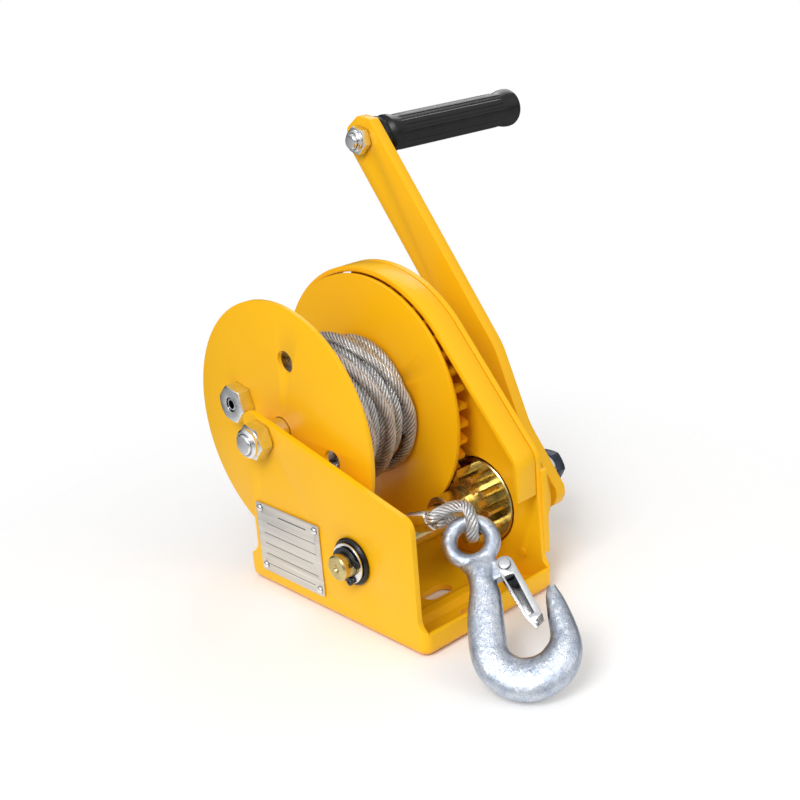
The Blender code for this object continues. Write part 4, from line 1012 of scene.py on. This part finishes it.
def build_crank_fixings():
    """The plated hub nose and the split spring washer."""
    hub, end = span("crank_hub", X)
    radius = half_size("crank_hub", Z)
    nose = [(hub, 7.3), (hub, radius), (hub + 3.0, radius), (hub + 4.0, 12.0), (end, 12.0), (end, 7.3)]
    simple("hub_nose", turned(fillet(nose, 0.5, steps=3), CRANK, 96), "crank_hub")
    low, high = span("crank_spring_washer", X)
    split = [(CRANK.x + y, CRANK.y + z) for y, z in ((5.0, -0.5), (11.0, 0.3), (11.0, 1.5), (5.0, 0.7))]
    coil = ring_of(low, high, 6.3, 9.8, CRANK, 0.3)
    cut = plate(split, low - 1.0, high + 1.0)
    simple("hub_spring_washer", coil, "crank_spring_washer", 0.0, [cut])


def build_grip():
    """Moulded grip: a collar and groove at the arm, a fluted waist and a flared end."""
    start, right = span("grip", X)
    pocket, bore, waist = 8.3, 5.35, 11.2
    collar = ((0.0, 11.9), (0.8, 12.4), (3.0, 12.6), (4.2, 11.6), (5.0, 10.2), (7.0, 10.2), (8.0, 11.4),
              (9.5, 12.6), (12.0, 12.5))
    flare = ((10.0, 11.9), (7.0, 12.6), (4.0, 12.8), (2.0, 12.6), (0.6, 11.9), (0.0, 11.0))
    waist_start, waist_end, steps = start + 17.0, right - 14.0, 30
    outer = [(start + x, radius) for x, radius in collar]
    outer += [(waist_start + (waist_end - waist_start) * k / steps, waist) for k in range(steps + 1)]
    outer += [(right - x, radius) for x, radius in flare]
    inside = [(right, 9.4), (right - 0.5, 9.2), (right - pocket, 9.2), (right - pocket, bore), (start, bore)]

    def flutes(x, radius, angle):
        if radius < 11.0:
            return radius
        rise = clamp((x - start - 15.0) / 6.0) * clamp((right - 12.0 - x) / 6.0)
        return radius + 0.42 * rise * clamp((math.cos(angle * 10.0) + 0.1) / 0.45)

    sleeve = turned(outer + inside, GRIP, 160, wobble=flutes)
    simple("hand_grip", sleeve, "grip")


# ---------------------------------------------------------------- rope end, hook and latch

EYE_MID_R = 11.4
EYE_SECTION_R = 4.1
BOWL = (8.5, 62.0)
BOWL_R = 19.0
LEG_OFFSET = ROPE_R + 0.3
FERRULE = 12.0
SLEEVE_START = (-15.0, -19.5)
PULL = Vector((-0.29, 0.913, -0.29)).normalized()
# the loop's centre line in the hook's own directions: sideways, down from the eye, out of it
LOOP_POINTS = ((-9.0, -19.5, -4.2), (-3.0, -16.8, -6.8), (1.0, -11.5, -8.0), (2.2, -6.0, -6.0),
               (1.6, -2.8, 0.0), (3.4, -5.2, 5.8), (4.6, -10.6, 8.0), (3.4, -16.6, 7.2),
               (-2.5, -20.0, 5.2), (-9.0, -20.2, 4.2))


def hook_point(side, down, out=0.0):
    """A point in the hook's own plane: sideways, down from the eye, out of the plane."""
    return EYE + HOOK_SIDE * side + HOOK_DOWN * down + HOOK_NORMAL * out


def smooth_path(points, steps=10):
    """A Catmull-Rom curve through points."""
    path = [Vector(point) for point in points]
    path = [path[0] * 2.0 - path[1]] + path + [path[-1] * 2.0 - path[-2]]
    done = []
    for a, b, c, d in zip(path, path[1:], path[2:], path[3:]):
        for k in range(steps):
            t = k / steps
            done.append(0.5 * ((2.0 * b) + (c - a) * t + (2.0 * a - 5.0 * b + 4.0 * c - d) * t ** 2
                               + (3.0 * b - a - 3.0 * c + d) * t ** 3))
    done.append(path[-2])
    return done


def build_rope_end():
    """The loop through the hook's eye, its pressed sleeve, the cut end and the run to the drum."""
    start = hook_point(*SLEEVE_START)
    across = (HOOK_NORMAL - PULL * PULL.dot(HOOK_NORMAL)).normalized()
    near = start - across * LEG_OFFSET
    far = start + across * LEG_OFFSET
    points = [near, near - PULL * 2.5] + [hook_point(*place) for place in LOOP_POINTS]
    points += [far - PULL * 2.5, far]
    lay_rope("rope_loop", smooth_path(points, 6), "rope_eye", lay=22.0)
    build_tail(start, across)
    build_sleeve(start + PULL * GAP, across)
    end = start + PULL * (FERRULE + 2.0 * GAP) + across * LEG_OFFSET
    lay_rope("rope_cut_end", [end + PULL * k for k in range(5)], "rope_dead_end", lay=22.0)


def build_sleeve(begin, across):
    """A pressed oval sleeve, waisted between the rope's two legs, with rounded ends."""
    flat = PULL.cross(across)
    bm = bmesh.new()

    def section(reach, grow):
        def place(angle):
            wide = (8.0 + grow) * math.cos(angle)
            high = (4.7 + grow) * math.sin(angle)
            waist = 1.0 - 0.10 * math.exp(-(wide / 2.2) ** 2)
            return begin + PULL * reach + across * wide + flat * high * waist
        return ring_at(bm, 64, place)

    rounding = ((0.0, -0.9), (0.5, -0.2), (1.2, 0.0))
    rings = [section(reach, grow) for reach, grow in rounding]
    rings += [section(FERRULE - reach, grow) for reach, grow in rounding[::-1]]
    sleeve = make_object("pressed_sleeve", skin(bm, rings))
    complete(sleeve, "rope_ferrule", material="sleeve_metal")


def build_tail(start, across):
    """From the underside of the coil, over the shaft, round a bend and into the sleeve.

    It stretches out of the coil as the rope pays out; here it is attached to neither body.
    """
    lane = place_of("rope_payout")
    rear = span("rope_tail", Y)[1]
    mouth = start + PULL * (FERRULE + 2.0 * GAP) - across * LEG_OFFSET
    bend = Vector((lane.x, -18.0, lane.z))
    handle = (bend - mouth).length / 3.0
    first = bend - Vector((0.0, handle, 0.0))
    last = mouth + PULL * handle
    under = Vector((lane.x, DRUM.x - 10.0, DRUM.y - (COIL_R - ROPE_R) + 1.3))
    points = [under + Vector((0.0, 14.0, 1.5)), under, Vector((lane.x, rear, 53.0))]
    points.append(Vector((lane.x, 2.0, lane.z)))
    for k in range(7):
        t = k / 6
        u = 1.0 - t
        points.append(bend * u ** 3 + first * 3.0 * t * u * u + last * 3.0 * t * t * u + mouth * t ** 3)
    tail = lay_rope("rope_run", smooth_path(points, 12), "rope_tail", rides=False)
    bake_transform(tail)


def roughen(mesh, height):
    """Push every vertex in or out a little, as a forging's skin is."""
    places = np.empty(len(mesh.vertices) * 3)
    mesh.vertices.foreach_get("co", places)
    normals = np.empty(len(mesh.vertices) * 3)
    mesh.vertex_normals.foreach_get("vector", normals)
    points = places.reshape(-1, 3)
    grain = [noise.noise(Vector(p) * 420.0) + 0.6 * noise.noise(Vector(p) * 900.0) for p in points]
    points += normals.reshape(-1, 3) * height * np.array(grain)[:, None]
    mesh.vertices.foreach_set("co", points.ravel())
    mesh.update()


def build_hook():
    """Forged hook: a round eye, a swelling shank and a wide bowl, blended by a voxel remesh."""
    eye = bmesh.new()
    section = EYE_SECTION_R + 0.1
    rings = []
    for k in range(64):
        a = 2.0 * math.pi * k / 64
        out = HOOK_SIDE * math.cos(a) + HOOK_DOWN * math.sin(a)
        rings.append(ring_at(eye, 20, lambda b: EYE + out * (EYE_MID_R + section * math.cos(b))
                             + HOOK_NORMAL * section * math.sin(b)))
    hook = make_object("forged_hook", skin(eye, rings, capped=False))
    carve(hook, [hook_shank()], "UNION")
    lug = arc(*LATCH_PIN, 4.6, -90.0, 90.0, 24) + [(2.0, 26.2), (2.0, 15.8)]
    carve(hook, [slab(lug, hook_point, -3.4, 3.4)], "UNION")
    remesh = hook.modifiers.new("remesh", "REMESH")
    remesh.mode = "VOXEL"
    remesh.voxel_size = 0.55 * MM
    smooth = hook.modifiers.new("smooth", "SMOOTH")
    smooth.factor = 0.6
    smooth.iterations = 7
    bake(hook)
    roughen(hook.data, 0.10 * MM)
    carve(hook, [slab(circle(LATCH_PIN, 2.0, 24), hook_point, -8.0, 8.0)])
    complete(hook, "hook")


def hook_shank():
    """Sections along the hook's centre line: place, half width in the plane, half thickness."""
    stations = [(0.0, 10.2, 9.2, 4.0), (-0.2, 14.0, 9.4, 4.6), (-0.6, 17.5, 7.8, 5.2), (-1.7, 23.5, 6.8, 5.6),
                (-3.0, 32.0, 8.2, 6.0), (-7.3, 46.0, 9.4, 6.6)]
    bowl = ((178.0, 9.6, 7.0), (205.0, 10.0, 7.2), (235.0, 10.6, 7.4), (265.0, 10.8, 7.4),
            (295.0, 10.2, 7.2), (325.0, 9.0, 6.8), (352.0, 7.2, 6.0))
    stations += [(*polar(BOWL_R, -degrees, BOWL), width, thick) for degrees, width, thick in bowl]
    stations += [(28.6, 52.0, 5.6, 5.0), (29.2, 44.0, 4.0, 4.0), (29.8, 38.5, 2.2, 2.4)]
    dense = smooth_path([(x, y, 0.0) for x, y, _, _ in stations], 8)
    sizes = smooth_path([(width, thick, 0.0) for _, _, width, thick in stations], 8)
    bm = bmesh.new()
    rings = []
    for i, (point, size) in enumerate(zip(dense, sizes)):
        ahead = dense[min(i + 1, len(dense) - 1)]
        back = dense[max(i - 1, 0)]
        run = (ahead - back).normalized()

        def place(angle):
            c, s = math.cos(angle), math.sin(angle)
            across = size.x * math.copysign(abs(c) ** 0.88, c)
            out = size.y * math.copysign(abs(s) ** 0.88, s)
            return hook_point(point.x - run.y * across, point.y + run.x * across, out)

        rings.append(ring_at(bm, 40, place))
    return skin(bm, rings)


def build_latch():
    """A pressed channel that spans from its rivet to the hook's point."""
    x, y = LATCH_PIN
    lug_half = 3.9
    outer = lug_half + 1.3
    outline = arc(x, y, 4.6, 0.0, -190.0, 24) + [(x + 0.2, 47.5), (x + 3.5, 55.0), (x + 8.6, 52.5)]
    latch = make_object("latch_channel", slab(outline, hook_point, -outer, outer))
    hollow = [(x - 9.0, y - 9.0), (x + 6.5, y - 9.0), (x + 5.6, y + 6.0), (x + 6.9, y + 30.5),
              (x + 4.8, y + 34.4), (x - 9.0, y + 34.4)]
    window = fillet([(x - 2.6, y + 6.0), (x + 2.6, y + 6.0), (x + 5.2, y + 30.0), (x + 1.6, y + 30.0)], 1.0)
    carve(latch, [slab(hollow, hook_point, -lug_half, lug_half),
                  slab(window, hook_point, 0.0, outer + 1.0),
                  slab(circle(LATCH_PIN, 1.9, 24), hook_point, -9.0, 9.0)])
    # latch_zinc paints shade inside the channel, darkest on the back flange seen through the window
    complete(latch, "hook_latch", 0.35, 3, "latch_zinc")
    pin = slab(circle(LATCH_PIN, 1.6, 24), hook_point, -outer - 0.8, outer + 0.8)
    rivet = make_object("latch_pin", pin)
    head = circle(LATCH_PIN, 2.8, 36)
    carve(rivet, [slab(head, hook_point, outer + GAP, outer + 1.6),
                  slab(head, hook_point, -outer - 1.6, -outer - GAP)], "UNION")
    complete(rivet, "latch_rivet", 0.45, 3)


# ---------------------------------------------------------------- frame nodes that stay

def dress_cad_nodes():
    """Every CAD node that still shows gets its material and softened edges."""
    for name, node in frame["nodes"].items():
        node.data.materials.clear()
        node.data.materials.append(MATERIALS[SLOTS[name]])
        if node.hide_render:
            continue
        weld = node.modifiers.new("weld", "WELD")
        weld.merge_threshold = 0.01 * MM
        soften = node.modifiers.new("soften", "BEVEL")
        soften.width = 0.2 * MM
        soften.segments = 2
        soften.limit_method = "ANGLE"
        soften.angle_limit = SMOOTH_ANGLE


# ---------------------------------------------------------------- stage, light and camera

def build_stage():
    """A pale floor that fades away round the object."""
    bm = bmesh.new()
    bmesh.ops.create_grid(bm, x_segments=2, y_segments=2, size=2200.0)
    floor = make_object("studio_floor", bm)
    floor.location.z = -0.0006
    n = Surface("studio_floor")
    n.set(Base_Color=n.shades(n.noise(3.0), (0.95, 0.95, 0.95), (0.98, 0.98, 0.98)), Roughness=0.6)
    away = n.add("ShaderNodeVectorMath", operation="LENGTH")
    n.link(n.where, away.inputs[0])
    clear = n.add("ShaderNodeBsdfTransparent")
    fade = n.add("ShaderNodeMixShader")
    n.link(n.range(away.outputs["Value"], 0.0, 1.0, 0.12, 0.34), fade.inputs["Fac"])
    n.link(n.shader.outputs["BSDF"], fade.inputs[1])
    n.link(clear.outputs["BSDF"], fade.inputs[2])
    n.link(fade.outputs["Shader"], n.tree.nodes["Material Output"].inputs["Surface"])
    floor.data.materials.append(MATERIALS["studio_floor"])


def add_area(name, place, size, power):
    """A rectangular lamp that faces the winch."""
    light = bpy.data.lights.new(name, "AREA")
    light.shape = "RECTANGLE"
    light.size, light.size_y = size
    light.energy = power
    obj = bpy.data.objects.new(name, light)
    obj.location = place
    aim = Vector((0.0, 0.0, 0.09)) - Vector(place)
    obj.rotation_euler = aim.to_track_quat("-Z", "Y").to_euler()
    bpy.context.scene.collection.objects.link(obj)


def build_light():
    """Three soft lamps, and a room that is dark at the horizon and towards the rear right."""
    add_area("key", (-0.95, -0.40, 1.05), (0.6, 0.6), 10.5)
    add_area("front", (0.15, -1.25, 0.55), (0.25, 0.9), 1.6)
    add_area("rim", (0.9, 0.6, 0.9), (0.6, 0.9), 4.0)
    world = bpy.data.worlds.new("studio")
    n = Nodes(world, "Generated")
    split = n.add("ShaderNodeSeparateXYZ")
    n.link(n.where, split.inputs[0])
    height = n.range(split.outputs["Z"], 0.0, 1.0, -1.0, 1.0)
    levels = ((0.0, 0.75), (0.46, 0.55), (0.50, 0.16), (0.56, 0.22), (0.62, 0.85), (0.80, 1.0), (1.0, 0.7))
    room = n.ramp(height, [(position, (level, level, level)) for position, level in levels])
    facing = n.add("ShaderNodeVectorMath", operation="DOT_PRODUCT")
    facing.inputs[1].default_value = (0.66, 0.75, 0.0)
    n.link(n.where, facing.inputs[0])
    dim = n.add("ShaderNodeVectorMath", operation="SCALE")
    n.link(room, dim.inputs[0])
    n.link(n.range(facing.outputs["Value"], 1.0, 0.18, -0.1, 0.7), dim.inputs["Scale"])
    seen = n.add("ShaderNodeLightPath").outputs["Is Camera Ray"]
    background = n.tree.nodes["Background"]
    n.link(n.mix(seen, dim.outputs["Vector"], (1.0, 1.0, 1.0)), background.inputs["Color"])
    background.inputs["Strength"].default_value = 1.0
    bpy.context.scene.world = world
    bpy.context.scene.view_settings.view_transform = "Standard"


def build_camera():
    """The viewpoint: from the front left, a little above, tilted slightly."""
    azimuth, elevation, roll = (math.radians(value) for value in (41.514, 20.19, 4.58))
    forward = Vector((math.sin(azimuth) * math.cos(elevation), math.cos(azimuth) * math.cos(elevation),
                      -math.sin(elevation)))
    level = forward.cross(Vector((0.0, 0.0, 1.0))).normalized()
    down = forward.cross(level)
    right = level * math.cos(roll) + down * math.sin(roll)
    up = right.cross(forward)
    data = bpy.data.cameras.new("camera")
    data.sensor_width = 36.0
    data.lens = 59.45
    data.clip_start = 0.01
    camera = bpy.data.objects.new("camera", data)
    turn = Matrix((right, up, -forward)).transposed().to_4x4()
    camera.matrix_world = Matrix.Translation((-0.4455, -0.5168, 0.3616)) @ turn
    bpy.context.scene.collection.objects.link(camera)
    bpy.context.scene.camera = camera


build_frame()
build_guard()
build_data_plate()
build_flanges()
build_anchor()
build_drum_gear()
build_coil()
build_shaft()
build_pinion()
build_left_bearing()
build_brake_cover()
build_arm()
build_crank_fixings()
build_grip()
build_fasteners()
build_rope_end()
build_hook()
build_latch()
dress_cad_nodes()
build_stage()
build_light()
build_camera()
